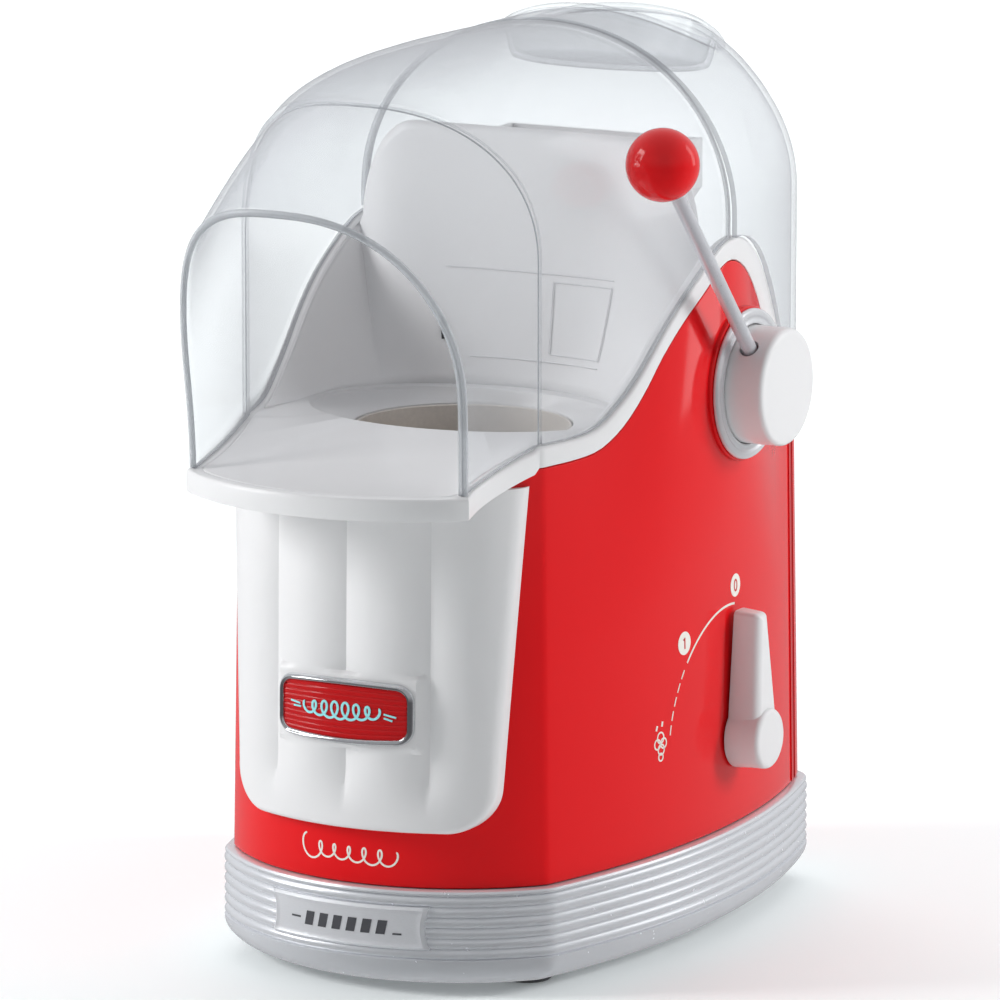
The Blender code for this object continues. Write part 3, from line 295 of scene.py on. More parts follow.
@functools.lru_cache(maxsize=None)
def plan(inset):
    """The body's outline seen from above, moved inward, anticlockwise from the front centre."""
    front, back, fillet, turns = plan_turns(inset)
    right = arc(FRONT_CENTRE, FRONT_RADIUS - inset, turns[0], turns[1], FRONT_STEPS)
    right += arc(front, fillet, turns[1], turns[2], FILLET_STEPS)
    right += arc(SIDE_CENTRE, SIDE_RADIUS - inset, turns[2], turns[3], SIDE_STEPS)
    right += arc(back, fillet, turns[3], turns[4], FILLET_STEPS)
    right += arc(BACK_CENTRE, BACK_RADIUS - inset, turns[4], turns[5], BACK_STEPS)
    left = [(-x, y) for x, y in reversed(right[1:])]
    return right + [(0.0, BACK_CENTRE.y + BACK_RADIUS - inset)] + left


def inset_at(z):
    return DRAFT * (z - BODY_Z)


def plan_at(index, extra_inset, z):
    """One point of the drafted outline. The inset is rounded so that loops share outlines."""
    return plan(round(extra_inset + inset_at(z), 2))[index]


def ring(extra_inset, heights):
    return [(*plan_at(index, extra_inset, z), z) for index, z in enumerate(heights)]


def level_ring(inset, z):
    return [(x, y, z) for x, y in plan(inset)]


def rim_height(y):
    return smooth_through(RIM_CURVE, y)


def red_height(y):
    return smooth_through(RED_CURVE, y)


def front_curve(x, outset):
    """Y of the outline's front curve, moved outward."""
    return FRONT_CENTRE.y - math.sqrt((FRONT_RADIUS + outset)**2 - x**2)


def front_y(x, z, lift):
    """Y of a place a little outside the body's front face."""
    return front_curve(x, lift - inset_at(z))


def panel_y(x, z):
    """Y of the highest part of the front panel, which stands out from the body."""
    return front_y(x, z, PANEL_PROUD)


def side_curve(y, inset):
    """X of the outline's right side, moved inward."""
    return SIDE_CENTRE.x + math.sqrt((SIDE_RADIUS - inset)**2 - (y - SIDE_MIDDLE_Y)**2)


def side_x(y, z, lift):
    """X of a place a little outside the body's right side."""
    return side_curve(y, inset_at(z) - lift)


# ---- mesh tools

def grid_faces(bm, rows, wrap_rows=False, wrap_points=False):
    """Quads between rows of vertices of equal length."""
    count = len(rows[0])
    pairs = list(zip(rows, rows[1:])) + ([(rows[-1], rows[0])] if wrap_rows else [])
    for low, high in pairs:
        for k in range(count if wrap_points else count - 1):
            after = (k + 1) % count
            bm.faces.new((low[k], low[after], high[after], high[k]))


def loft(loops, joined=False, bm=None):
    """A body between loops of equal length, capped at both ends or joined into a ring."""
    bm = bm or bmesh.new()
    rows = [[bm.verts.new(point) for point in loop] for loop in loops]
    grid_faces(bm, rows, wrap_rows=joined, wrap_points=True)
    if not joined:
        bm.faces.new(reversed(rows[0]))
        bm.faces.new(rows[-1])
    return bm


def sheet(rows):
    """An open sheet through rows of points."""
    bm = bmesh.new()
    grid_faces(bm, [[bm.verts.new(point) for point in row] for row in rows])
    return bm


def slab(rows, shift):
    """A closed body between a sheet of points and the same sheet moved by a vector."""
    bm = bmesh.new()
    front = [[bm.verts.new(point) for point in row] for row in rows]
    back = [[bm.verts.new(Vector(point) + Vector(shift)) for point in row] for row in rows]
    grid_faces(bm, front)
    grid_faces(bm, back)
    sides = [
        (front[0], back[0]), (front[-1], back[-1]),
        ([row[0] for row in front], [row[0] for row in back]),
        ([row[-1] for row in front], [row[-1] for row in back]),
    ]
    for edge, far_edge in sides:
        grid_faces(bm, [edge, far_edge])
    return bm


def turned(profile, steps=96):
    """A profile of (radius, height) turned about Z; off the axis, its two ends are joined."""
    bm = bmesh.new()
    verts = [bm.verts.new((radius, 0, z)) for radius, z in profile]
    on_axis = profile[0][0] == 0 and profile[-1][0] == 0
    pairs = list(zip(verts, verts[1:])) + ([] if on_axis else [(verts[-1], verts[0])])
    edges = [bm.edges.new(pair) for pair in pairs]
    bmesh.ops.spin(
        bm, geom=verts + edges, axis=(0, 0, 1), cent=(0, 0, 0), angle=math.tau, steps=steps,
        use_merge=True,
    )
    return bm


def moved(bm, matrix):
    bmesh.ops.transform(bm, matrix=matrix, verts=bm.verts)
    return bm


def on_x(bm, at):
    """Turn a shape built about Z onto X, then move it."""
    return moved(bm, Matrix.Translation(at) @ Matrix.Rotation(math.pi / 2, 4, "Y"))


def rounded(profile, radius, steps=5):
    """A profile of (a, b) points with each inner corner replaced by an arc."""
    points = [Vector(profile[0])]
    for before, corner, after in zip(profile, profile[1:], profile[2:]):
        corner = Vector(corner)
        to_before = (Vector(before) - corner).normalized()
        to_after = (Vector(after) - corner).normalized()
        reach = min(radius, (Vector(before) - corner).length / 2, (Vector(after) - corner).length / 2)
        for k in range(steps + 1):
            t = k / steps
            points.append(
                corner + to_before * reach * (1 - t)**2 + to_after * reach * t**2
            )
    points.append(Vector(profile[-1]))
    return [tuple(point) for point in points]


def rounded_rectangle(half_x, half_y, radius, steps=8, along=40):
    """Anticlockwise outline of a rectangle with round corners and divided long sides."""
    points = []
    for quarter, (sx, sy) in enumerate(((1, -1), (1, 1), (-1, 1), (-1, -1))):
        centre = Vector((sx * (half_x - radius), sy * (half_y - radius)))
        start = math.pi / 2 * (quarter - 1)
        points += arc(centre, radius, start, start + math.pi / 2, steps)
        end_x = centre.x + radius * math.cos(start + math.pi / 2)
        end_y = centre.y + radius * math.sin(start + math.pi / 2)
        parts = along if quarter % 2 else 1
        points += [(end_x * (1 - 2 * k / parts), end_y) for k in range(parts)]
    return points


def ellipse_at(point, centre_y, rx, ry, z):
    """The point of an ellipse that lies in the same direction as a given point."""
    angle = math.atan2((point[1] - centre_y) / ry, point[0] / rx)
    return (rx * math.cos(angle), centre_y + ry * math.sin(angle), z)


# ---- node materials

# Plastics and prints: colour, roughness, grain in cells to the metre, depth of the grain, and more
MOULDED = {
    "red_gloss": ((0.74, 0.007, 0.010), 0.1, 500.0, 0.004),
    "badge_red": ((0.50, 0.006, 0.008), 0.12, 900.0, 0.004),
    # Painted shade: a darker red laid in each side groove to stand for its shadow
    "joint_red": ((0.46, 0.004, 0.006), 0.3, 500.0, 0.004),
    "white_gloss": ((0.76, 0.755, 0.76), 0.3, 1800.0, 0.01, {"coat": 0.15}),
    # Painted light: a lighter copy of the white plastic, brightening the scoop inside the hood where less
    # light reaches
    "inner_white": ((0.87, 0.865, 0.87), 0.34, 1800.0, 0.01, {"specular": 0.3}),
    "seam": ((0.76, 0.76, 0.775), 0.5, 1800.0, 0.01),
    # Painted shade: near black, drawn on the bulkhead's small slot for the dark inside of the opening
    "slot": ((0.05, 0.05, 0.055), 0.6, 1800.0, 0.01),
    "printed_white": ((0.82, 0.80, 0.74), 0.42, 5000.0, 0.05),
    "printed_cyan": ((0.33, 0.78, 0.82), 0.35, 5000.0, 0.05),
    "printed_grey": ((0.07, 0.07, 0.08), 0.4, 5000.0, 0.05),
    "printed_red": ((0.62, 0.03, 0.03), 0.4, 5000.0, 0.05),
    "rubber": ((0.10, 0.10, 0.105), 0.62, 3500.0, 0.2, {"shade": 0.15}),
    "black_plastic": ((0.03, 0.03, 0.032), 0.45, 2500.0, 0.12, {"shade": 0.2}),
    "mica": ((0.52, 0.42, 0.27), 0.55, 900.0, 0.2, {"shade": 0.35}),
    "board": ((0.04, 0.26, 0.10), 0.4, 2500.0, 0.1, {"shade": 0.3}),
}

# Metals and metallic paints, in the same way; share is how metallic the surface is
METALS = {
    "silver_paint": (
        (0.80, 0.815, 0.85), 0.27, 300.0, 0.0004, {"coat": 0.3, "share": 0.5, "depth": 0.02},
    ),
    "bright_silver": ((0.80, 0.815, 0.84), 0.26, 300.0, 0.0004, {"share": 0.45, "depth": 0.02}),
    "brushed_plate": (
        (0.80, 0.81, 0.84), 0.36, 3500.0, 0.02, {"stretch": (0.03, 1, 1), "share": 0.4, "depth": 0.06},
    ),
    "chrome": ((0.78, 0.79, 0.81), 0.07, 900.0, 0.01),
    "rod_steel": ((0.80, 0.81, 0.85), 0.3, 2200.0, 0.03, {"stretch": (1, 1, 0.05), "share": 0.5}),
    "chamber": ((0.74, 0.69, 0.64), 0.5, 500.0, 0.05, {"share": 0.35}),
    "steel": ((0.60, 0.60, 0.62), 0.32, 1800.0, 0.05),
    "pressed_aluminium": ((0.52, 0.50, 0.47), 0.38, 700.0, 0.08),
    "brass": ((0.70, 0.50, 0.22), 0.3, 1500.0, 0.05),
    "wire": ((0.35, 0.32, 0.31), 0.45, 1500.0, 0.05),
}

# Clear plastic: share of haze facing the viewer, share at the outline, colour of the haze
CLEAR = {
    "clear_plastic": (0.075, 0.62, (0.70, 0.715, 0.74)),
    # The two edge looks are painted shade: nearly solid grey haze for the grey lines that light bending at
    # the edges of clear plastic makes
    "clear_edge": (0.55, 0.95, (0.46, 0.48, 0.505)),
    "clear_rim": (0.5, 0.95, (0.60, 0.62, 0.645)),
}

# The usual look of each material slot of the record
SLOT_LOOKS = {
    "red_gloss": "red_gloss", "white_plastic": "white_gloss", "silver_paint": "silver_paint",
    "clear_plastic": "clear_plastic", "steel": "steel", "chrome": "chrome", "rubber": "rubber",
    "black_plastic": "black_plastic", "aluminium": "pressed_aluminium", "mica": "mica",
    "brass": "brass", "heater_wire": "wire", "circuit_board": "board",
}

# The material slot of each look that prints and grooves have
PRINT_SLOTS = {
    "printed_white": "white_plastic", "printed_cyan": "chrome", "printed_grey": "silver_paint",
    "printed_red": "red_gloss", "joint_red": "red_gloss", "red_gloss": "red_gloss",
}


def node(tree, kind, **inputs):
    """A shader node with some of its inputs set; an underscore stands for a space."""
    return with_inputs(tree.nodes.new("ShaderNode" + kind), **inputs)


def with_inputs(made, **inputs):
    for name, value in inputs.items():
        made.inputs[name.replace("_", " ")].default_value = value
    return made


def new_material(name):
    material = bpy.data.materials.new(name)
    material.use_nodes = True
    tree = material.node_tree
    return material, tree, tree.nodes["Principled BSDF"]


def add_noise(tree, scale, detail=3.0, stretch=(1, 1, 1)):
    """A noise in the object's own space, at so many cells to the metre."""
    place = node(tree, "TexCoord")
    mapping = node(tree, "Mapping", Scale=stretch)
    noise = node(tree, "TexNoise", Scale=scale, Detail=detail)
    tree.links.new(place.outputs["Object"], mapping.inputs["Vector"])
    tree.links.new(mapping.outputs["Vector"], noise.inputs["Vector"])
    return noise.outputs["Fac"]


def vary(tree, factor, low, high, target):
    """Drive a number socket between two values by a factor."""
    span = node(tree, "MapRange", From_Min=0.2, From_Max=0.8, To_Min=low, To_Max=high)
    tree.links.new(factor, span.inputs["Value"])
    tree.links.new(span.outputs["Result"], target)


def tint(tree, factor, first, second, target):
    """Drive a colour socket between two colours by a factor."""
    ramp = node(tree, "ValToRGB")
    for element, position, colour in zip(ramp.color_ramp.elements, (0.2, 0.8), (first, second)):
        element.position = position
        element.color = (*colour, 1.0)
    tree.links.new(factor, ramp.inputs["Fac"])
    tree.links.new(ramp.outputs["Color"], target)


def add_bump(tree, factor, strength, distance, shader):
    bump = node(tree, "Bump", Strength=strength, Distance=distance)
    tree.links.new(factor, bump.inputs["Height"])
    tree.links.new(bump.outputs["Normal"], shader.inputs["Normal"])


def moulding(name, colour, roughness, grain, bump, coat=0.0, shade=0.02, specular=0.5):
    """Moulded plastic or rubber: faint mottling, uneven gloss and a fine surface grain."""
    material, tree, shader = new_material(name)
    dull = tuple(c * (1 - shade) for c in colour)
    tint(tree, add_noise(tree, 9.0, 1.0), dull, colour, shader.inputs["Base Color"])
    gloss = add_noise(tree, 14.0, 1.0)
    vary(tree, gloss, roughness * 0.97, roughness * 1.04, shader.inputs["Roughness"])
    add_bump(tree, add_noise(tree, grain), bump, 0.0002, shader)
    with_inputs(shader, Coat_Weight=coat, Coat_Roughness=0.04, Specular_IOR_Level=specular)
    return material


def metal(name, colour, roughness, grain, bump, stretch=(1, 1, 1), coat=0.0, share=1.0, depth=0.12):
    """Metal or metallic paint with a directional or an even grain."""
    material, tree, shader = new_material(name)
    grain_noise = add_noise(tree, grain, 4.0, stretch)
    dark = tuple(c * (1 - depth) for c in colour)
    tint(tree, grain_noise, dark, colour, shader.inputs["Base Color"])
    vary(tree, grain_noise, roughness * (1 - depth), roughness * (1 + depth), shader.inputs["Roughness"])
    add_bump(tree, grain_noise, bump, 0.0001, shader)
    with_inputs(shader, Metallic=share, Coat_Weight=coat, Coat_Roughness=0.08)
    return material


def facing_curve(tree, power, low, high):
    """A number that goes from low, where a surface faces the viewer, to high at its outline."""
    facing = node(tree, "LayerWeight", Blend=0.5)
    curve = node(tree, "Math")
    curve.operation = "POWER"
    curve.inputs[1].default_value = power
    span = node(tree, "MapRange", To_Min=low, To_Max=high)
    tree.links.new(facing.outputs["Facing"], curve.inputs[0])
    tree.links.new(curve.outputs[0], span.inputs["Value"])
    return span.outputs["Result"]


def mix_shaders(tree, factor, first, second):
    blend = node(tree, "MixShader")
    tree.links.new(factor, blend.inputs["Fac"])
    tree.links.new(first.outputs[0], blend.inputs[1])
    tree.links.new(second.outputs[0], blend.inputs[2])
    return blend


def clear(name, haze, edge_haze, shade):
    """Thin clear plastic: a faint haze and a soft sheen, both stronger toward the outline."""
    material, tree, shader = new_material(name)
    dull = tuple(c * 0.94 for c in shade)
    tint(tree, add_noise(tree, 12.0, 1.0), dull, shade, shader.inputs["Base Color"])
    vary(tree, add_noise(tree, 20.0, 1.0), 0.22, 0.28, shader.inputs["Roughness"])
    add_bump(tree, add_noise(tree, 16.0, 1.0), 0.04, 0.001, shader)
    passing = node(tree, "BsdfTransparent", Color=(0.985, 0.988, 0.992, 1.0))
    sheen = node(tree, "BsdfGlossy", Color=(0.90, 0.91, 0.93, 1.0), Roughness=0.12)
    body = mix_shaders(tree, facing_curve(tree, 3.2, haze, edge_haze), passing, shader)
    whole = mix_shaders(tree, facing_curve(tree, 5.0, 0.022, 0.6), body, sheen)
    tree.links.new(whole.outputs[0], tree.nodes["Material Output"].inputs["Surface"])
    return material


@functools.lru_cache(maxsize=None)
def look(name):
    """The material of a name in the tables above, made when it is first needed."""
    if name in CLEAR:
        return clear(name + "_look", *CLEAR[name])
    make, table = (moulding, MOULDED) if name in MOULDED else (metal, METALS)
    *values, more = (*table[name], {})[:5]
    return make(name + "_look", *values, **more)


# ---- pieces

def new_object(name, data):
    obj = bpy.data.objects.new(name, data)
    bpy.context.scene.collection.objects.link(obj)
    return obj


def piece(name, bm, slot, *replaced, body=HOUSING, finish=None, sharp=40):
    """A finished piece that rides on a body and stands for some CAD nodes."""
    bmesh.ops.remove_doubles(bm, verts=bm.verts, dist=1e-5)
    bmesh.ops.recalc_face_normals(bm, faces=bm.faces)
    bmesh.ops.scale(bm, vec=(MM, MM, MM), verts=bm.verts)
    bmesh.ops.translate(bm, vec=SHIFT, verts=bm.verts)
    mesh = bpy.data.meshes.new(name)
    bm.to_mesh(mesh)
    bm.free()
    shade(mesh, sharp)
    mesh.materials.append(look(finish or SLOT_LOOKS[slot]))
    obj = new_object(name, mesh)
    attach(obj, body)
    if replaced:
        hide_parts(*replaced)
    return obj


def shade(mesh, sharp):
    """Smooth shading with sharp edges over an angle in degrees."""
    mesh.shade_smooth()
    mesh.set_sharp_from_angle(angle=math.radians(sharp))


def cut(target, bm):
    """Cut a shape from a piece and drop the tool."""
    tool = piece(target.name + "_tool", bm, None, body=target["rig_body"], finish="rubber")
    change = target.modifiers.new("Cut", "BOOLEAN")
    change.operation = "DIFFERENCE"
    change.solver = "EXACT"
    change.object = tool
    bpy.context.view_layer.update()
    graph = bpy.context.evaluated_depsgraph_get()
    target.data = bpy.data.meshes.new_from_object(target.evaluated_get(graph))
    target.modifiers.clear()
    shade(target.data, 35)
    bpy.data.objects.remove(tool)


def thicken(target, thickness, rim=None):
    """Give a sheet its wall, with its own look on the rim if one is given."""
    wall = target.modifiers.new("Wall", "SOLIDIFY")
    if rim:
        target.data.materials.append(look(rim))
        wall.material_offset_rim = 1
    wall.thickness = thickness * MM
    wall.offset = -1.0
    wall.use_even_offset = False


def printed(name, outlines, place, finish, thick=0.12):
    """Flat printed shapes: outlines of (a, b) laid on a face by a function of (a, b, lift)."""
    bm = bmesh.new()
    for outline in outlines:
        loft([[place(a, b, lift) for a, b in outline] for lift in (INK, INK + thick)], bm=bm)
    return piece(name, bm, PRINT_SLOTS[finish], finish=finish)


def direction(points, k):
    """The way from the point before a place on a line to the point after it."""
    return Vector(points[min(k + 1, len(points) - 1)]) - Vector(points[max(k - 1, 0)])


def ribbon(points, width):
    """One closed outline of even width round a line of points."""
    left, right = [], []
    for k, point in enumerate(points):
        along = direction(points, k)
        side = Vector((-along.y, along.x)).normalized() * width / 2
        left.append(tuple(Vector(point) + side))
        right.append(tuple(Vector(point) - side))
    return left, right


def printed_line(name, lines, width, place, finish, thick=0.12):
    """Printed lines of even width through points, each one strip."""
    bm = bmesh.new()
    low, high = INK, INK + thick
    for points in lines:
        left, right = ribbon(points, width)
        rows = [
            [bm.verts.new(place(a, b, lift)) for a, b in side]
            for side, lift in ((left, low), (left, high), (right, high), (right, low))
        ]
        grid_faces(bm, rows, wrap_rows=True)
        bm.faces.new([row[0] for row in rows])
        bm.faces.new([row[-1] for row in reversed(rows)])
    return piece(name, bm, PRINT_SLOTS[finish], finish=finish)


def circle(a, b, radius, steps=40):
    return arc(Vector((a, b)), radius, 0, math.tau, steps)


# ---- base

def base_profile():
    """(Outset, height) points up the outside: a round bowl, six round beads and a ledge."""
    foot = -12.0
    points = [(foot, FLOOR_Z)]
    for k in range(1, 13):
        angle = math.pi / 2 * k / 12
        points.append((foot + 16.0 * math.sin(angle), FLOOR_Z + 12.2 * (1 - math.cos(angle))))
    for rib in range(RIB_COUNT):
        for share in (0.04, 0.12, 0.28, 0.5, 0.72, 0.88, 0.96):
            round_off = 1 - math.sqrt(1 - (2 * share - 1)**2)
            points.append((BASE_OUTSET - RIB_DEPTH * round_off, RIB_Z + RIB_PITCH * (rib + share)))
    points += [(BASE_OUTSET - back, z) for back, z in LEDGE]
    return points + [(2.4, BODY_Z), (-1.0, BODY_Z)]


def make_base():
    outside = [level_ring(-outset, z) for outset, z in base_profile()]
    inside = [level_ring(inset, z) for inset, z in BASE_INSIDE]
    base = piece("base_shell_look", loft(outside + inside), "silver_paint", "base_shell")
    vents = bmesh.new()
    outline = rounded_rectangle(34.0, 2.0, 1.9, 4, 1)
    for offset in range(-30, 31, 10):
        loft([[(x, FUNNEL_Y + offset + y, z) for x, y in outline] for z in (1.0, 8.0)], bm=vents)
    cut(base, vents)


def nameplate_row(w, columns=60):
    """One row of points across the nameplate, w from -1 at its foot to 1 at its top."""
    half_x, half_z = PLATE_HALF
    end = half_x - 1.8 * (1 - w * w)
    row = []
    for i in range(columns + 1):
        u = 2 * i / columns - 1
        rim = min((1 - abs(u)) * end, (1 - abs(w)) * half_z)
        border = smooth_step(rim / 0.9) - 0.35 * smooth_step((rim - 1.2) / 0.7)
        x = u * end
        row.append((x, front_curve(x, BASE_OUTSET + 0.35 + border), PLATE_Z + w * half_z))
    return row


def make_nameplate():
    """A brushed plate with bowed ends and a fine raised border."""
    rows = [nameplate_row(2 * j / 16 - 1) for j in range(17)]
    piece(
        "nameplate_look", slab(rows, (0, 3.0, 0)), "silver_paint", "nameplate",
        finish="brushed_plate",
    )

    def place(x, z, lift):
        return (x, front_curve(x, BASE_OUTSET + 1.0 + lift), PLATE_Z + z)

    bars = []
    for k in range(6):
        x = -17.5 + 6.4 * k
        bars.append([(x, -2.8), (x + 3.8, -2.8), (x + 5.0, 2.8), (x + 1.2, 2.8)])
    printed("nameplate_bars", bars, place, "printed_grey")
    lines = [
        [(start + 0.5 * k, z) for k in range(count)]
        for start, z, count in ((-24.0, -0.1, 10), (21.5, -2.4, 8))
    ]
    printed_line("nameplate_lines", lines, 0.7, place, "printed_grey")


# ---- body

def make_body():
    """The red shell, whose top edge follows the wave of the collar."""
    outline = plan(round(inset_at(RED_EDGE_Z), 2))
    tops = [red_height(y) for x, y in outline]
    low = BODY_Z + 0.3
    count = len(outline)
    mids = [(low + top) / 2 for top in tops]
    loops = [
        ring(0.5, [low] * count), ring(0.0, [low + 0.5] * count), ring(0.0, mids),
        ring(0.0, [t - 0.8 for t in tops]), ring(0.25, [t - 0.2 for t in tops]), ring(0.8, tops),
        ring(2.5, tops), ring(2.5, [low] * count),
    ]
    piece("body_shell_look", loft(loops, joined=True), "red_gloss", "body_shell")


def panel_half_width(z):
    """Half the front panel's width at a height: tapered, with round lower corners."""
    taper = (z - PANEL_BOTTOM_Z) / (PANEL_TOP_Z - PANEL_BOTTOM_Z)
    half = PANEL_BOTTOM_HALF + (PANEL_TOP_HALF - PANEL_BOTTOM_HALF) * taper
    below = max(0.0, PANEL_CORNER - (z - PANEL_BOTTOM_Z))
    return half, half - PANEL_CORNER + math.sqrt(max(PANEL_CORNER**2 - below**2, 0.0))


def panel_columns(half):
    """Columns across the panel: fixed at the flutes' valleys, closer together at the edges."""
    rim = (0.0, 0.2, 0.6, 1.2, 2.0, 3.0)
    right = [half - s for s in rim]
    right += [FLUTE_PITCH + (half - rim[-1] - FLUTE_PITCH) * (1 - k / 18) for k in range(1, 18)]
    right += [FLUTE_PITCH * (1 - k / 28) for k in range(28)]
    return [-x for x in right] + [0.0] + right[::-1]


def panel_drop(x, z, half):
    """How far the panel's surface curls back at its edge."""
    inner_x, inner_z = half - PANEL_CORNER, PANEL_BOTTOM_Z + PANEL_CORNER
    if abs(x) > inner_x and z < inner_z:
        reach = PANEL_CORNER - math.hypot(abs(x) - inner_x, z - inner_z)
    else:
        reach = min(half - abs(x), z - PANEL_BOTTOM_Z)
    inside = max(PANEL_EDGE - max(reach, 0.0), 0.0)
    return PANEL_EDGE - math.sqrt(max(PANEL_EDGE**2 - inside**2, 0.0))


def flute_depth(x, z):
    """How far the panel's surface stands back: round columns with sharp valleys between them."""
    across = (x / FLUTE_PITCH) % 1.0
    fade = smooth_step((z - PANEL_BOTTOM_Z - 3) / 22.0)
    pad_x = smooth_step((abs(x) - BADGE_HALF[0] - 0.6) / 2.0)
    pad_z = smooth_step((abs(z - BADGE_Z) - BADGE_HALF[1] - 0.6) / 2.0)
    return FLUTE_DEPTH * (2 * across - 1)**2 * fade * max(pad_x, pad_z)


def make_front_panel():
    """The fluted white panel, with closer rows where its lower edge curls back."""
    rises = [0.0, 0.08, 0.25, 0.6, 1.1, 1.8, 2.6] + [3.6 + 1.2 * k for k in range(104)]
    rows = []
    for rise in rises + [PANEL_TOP_Z - PANEL_BOTTOM_Z]:
        z = PANEL_BOTTOM_Z + rise
        full, half = panel_half_width(z)
        rows.append([
            (x, panel_y(x, z) + flute_depth(x, z) + panel_drop(x, z, full), z)
            for x in panel_columns(half)
        ])
    shell = slab(rows, (0, 4.0, 0))
    piece("front_panel_look", shell, "white_plastic", "front_panel", sharp=28)


def badge_loop(inset, proud):
    """A loop of the bezel: an oblong whose long sides bow, standing proud of the panel."""
    half_x, half_z = BADGE_HALF[0] - inset, BADGE_HALF[1] - inset
    bulge = 1.2
    outline = rounded_rectangle(half_x, half_z - bulge, 6.4 - min(inset, 3.0))
    bowed = [(x, z + bulge * (1 - (x / half_x)**2) * z / (half_z - bulge)) for x, z in outline]
    return [badge_place(x, z, proud) for x, z in bowed]


def badge_place(x, z, proud):
    return (x, panel_y(x, BADGE_Z + z) - proud, BADGE_Z + z)


def insert_row(w, columns=40):
    """One row of points across the badge's grooved insert, w from -1 at its foot to 1."""
    half_x, half_z = BADGE_HALF[0] - BEZEL, BADGE_HALF[1] - BEZEL
    z = w * half_z
    past = max(0.0, abs(z) - (half_z - INSERT_CORNER))
    end = half_x - INSERT_CORNER + math.sqrt(INSERT_CORNER**2 - past**2)
    groove = 0.3 * max(0.0, math.cos(math.tau * z / GROOVE_PITCH))**3
    row = []
    for i in range(columns + 1):
        x = end * (2 * i / columns - 1)
        squeeze = 1 - 0.09 * (x / half_x)**2
        row.append((x, panel_y(x, BADGE_Z + z) - INSERT_PROUD + groove, BADGE_Z + z * squeeze))
    return row


def make_badge():
    bezel = [badge_loop(inset, proud) for inset, proud in BEZEL_SECTION]
    piece("badge_bezel_look", loft(bezel, joined=True), "chrome", "badge_bezel")
    rows = [insert_row(2 * j / 88 - 1) for j in range(89)]
    insert = slab(rows, (0, 1.4, 0))
    piece("badge_insert_look", insert, "red_gloss", "badge_insert", finish="badge_red", sharp=60)

    def place(x, z, lift):
        return badge_place(x, z, INSERT_PROUD + lift)

    scroll = []
    for k in range(241):
        t = math.tau * 7 * k / 240
        swell = 1.9 + 1.5 * math.sin(math.pi * k / 240)
        scroll.append((-16.5 + 33.0 * k / 240 - swell * 0.75 * math.sin(t), 0.2 + swell * math.cos(t)))
    darts = [
        [(-23.5, 1.6), (-18.8, 0.9)], [(-22.0, -0.2), (-18.4, -0.3)],
        [(18.6, 0.3), (23.5, -0.8)], [(18.6, -1.2), (22.0, -2.2)],
    ]
    printed_line("badge_scroll", [scroll], 0.95, place, "printed_cyan", 0.25)
    printed_line("badge_darts", darts, 0.7, place, "printed_cyan", 0.25)


def make_front_ornament():
    """A plain looping scroll where a word could stand on the red front."""
    def place(x, z, lift):
        return (x, front_y(x, z, lift), z)

    def scroll_point(k):
        t = math.tau * 6 * k / 360
        late = 2.8 + 0.4 * math.sin(math.pi * (k - 180) / 180)
        size = 5.2 - 2.4 * smooth_step(k / 70) if k < 180 else late
        x = -19.5 + 40.0 * k / 360 - size * 0.7 * math.sin(t)
        return (x, 55.5 - 0.004 * k + size * math.cos(t))

    scroll = [scroll_point(k) for k in range(361)]
    printed_line("front_scroll", [scroll], 0.75, place, "printed_white")


# ---- collar, tray and chute

def tray_height(y):
    return TRAY_Z + TRAY_SLOPE * (max(min(y, -105.0), TRAY_TIP[1]) + 105.0)


def tray_half(inset, corner):
    """Right half of the tray's outline from the front centre to the body's corner."""
    full = arc_radius(TRAY_TIP[0], TRAY_TIP[1] - TRAY_FRONT_Y)
    centre_y = TRAY_FRONT_Y + full
    radius = full - inset
    round_off = 3.0
    tip_x = TRAY_TIP[0] - inset
    tip_y = centre_y - math.sqrt(radius**2 - (tip_x - round_off)**2)
    half = FRONT_STEPS // 2
    points = []
    for k in range(half):
        x = (tip_x - round_off) * k / (half - 1)
        points.append((x, centre_y - math.sqrt(radius**2 - x**2)))
    start_y = tip_y + round_off
    for k in range(FRONT_STEPS - half):
        t = k / (FRONT_STEPS - half)
        y = start_y + (corner[1] - start_y) * t
        points.append((smooth_through(TRAY_SIDE_CURVE, y) - inset, y))
    return points


def collar_outline(inset):
    """The body's outline with the tray in place of its front."""
    outline = plan(round(inset + inset_at(TRAY_Z), 2))
    right = tray_half(inset, outline[FRONT_STEPS])
    left = [(-x, y) for x, y in reversed(right[1:])]
    return right + outline[FRONT_STEPS:-len(left)] + left


def in_tray(index, count):
    return index < FRONT_STEPS or index > count - FRONT_STEPS


def collar_loop(inset, height):
    """A loop of the collar; height is a function of the place and of being in the tray."""
    flat = collar_outline(inset)
    loop = []
    for index, (x, y) in enumerate(flat):
        tray = in_tray(index, len(flat))
        z = height(y, tray)
        if not tray:
            x, y = plan_at(index, inset, z)
        loop.append((x, y, z))
    return loop


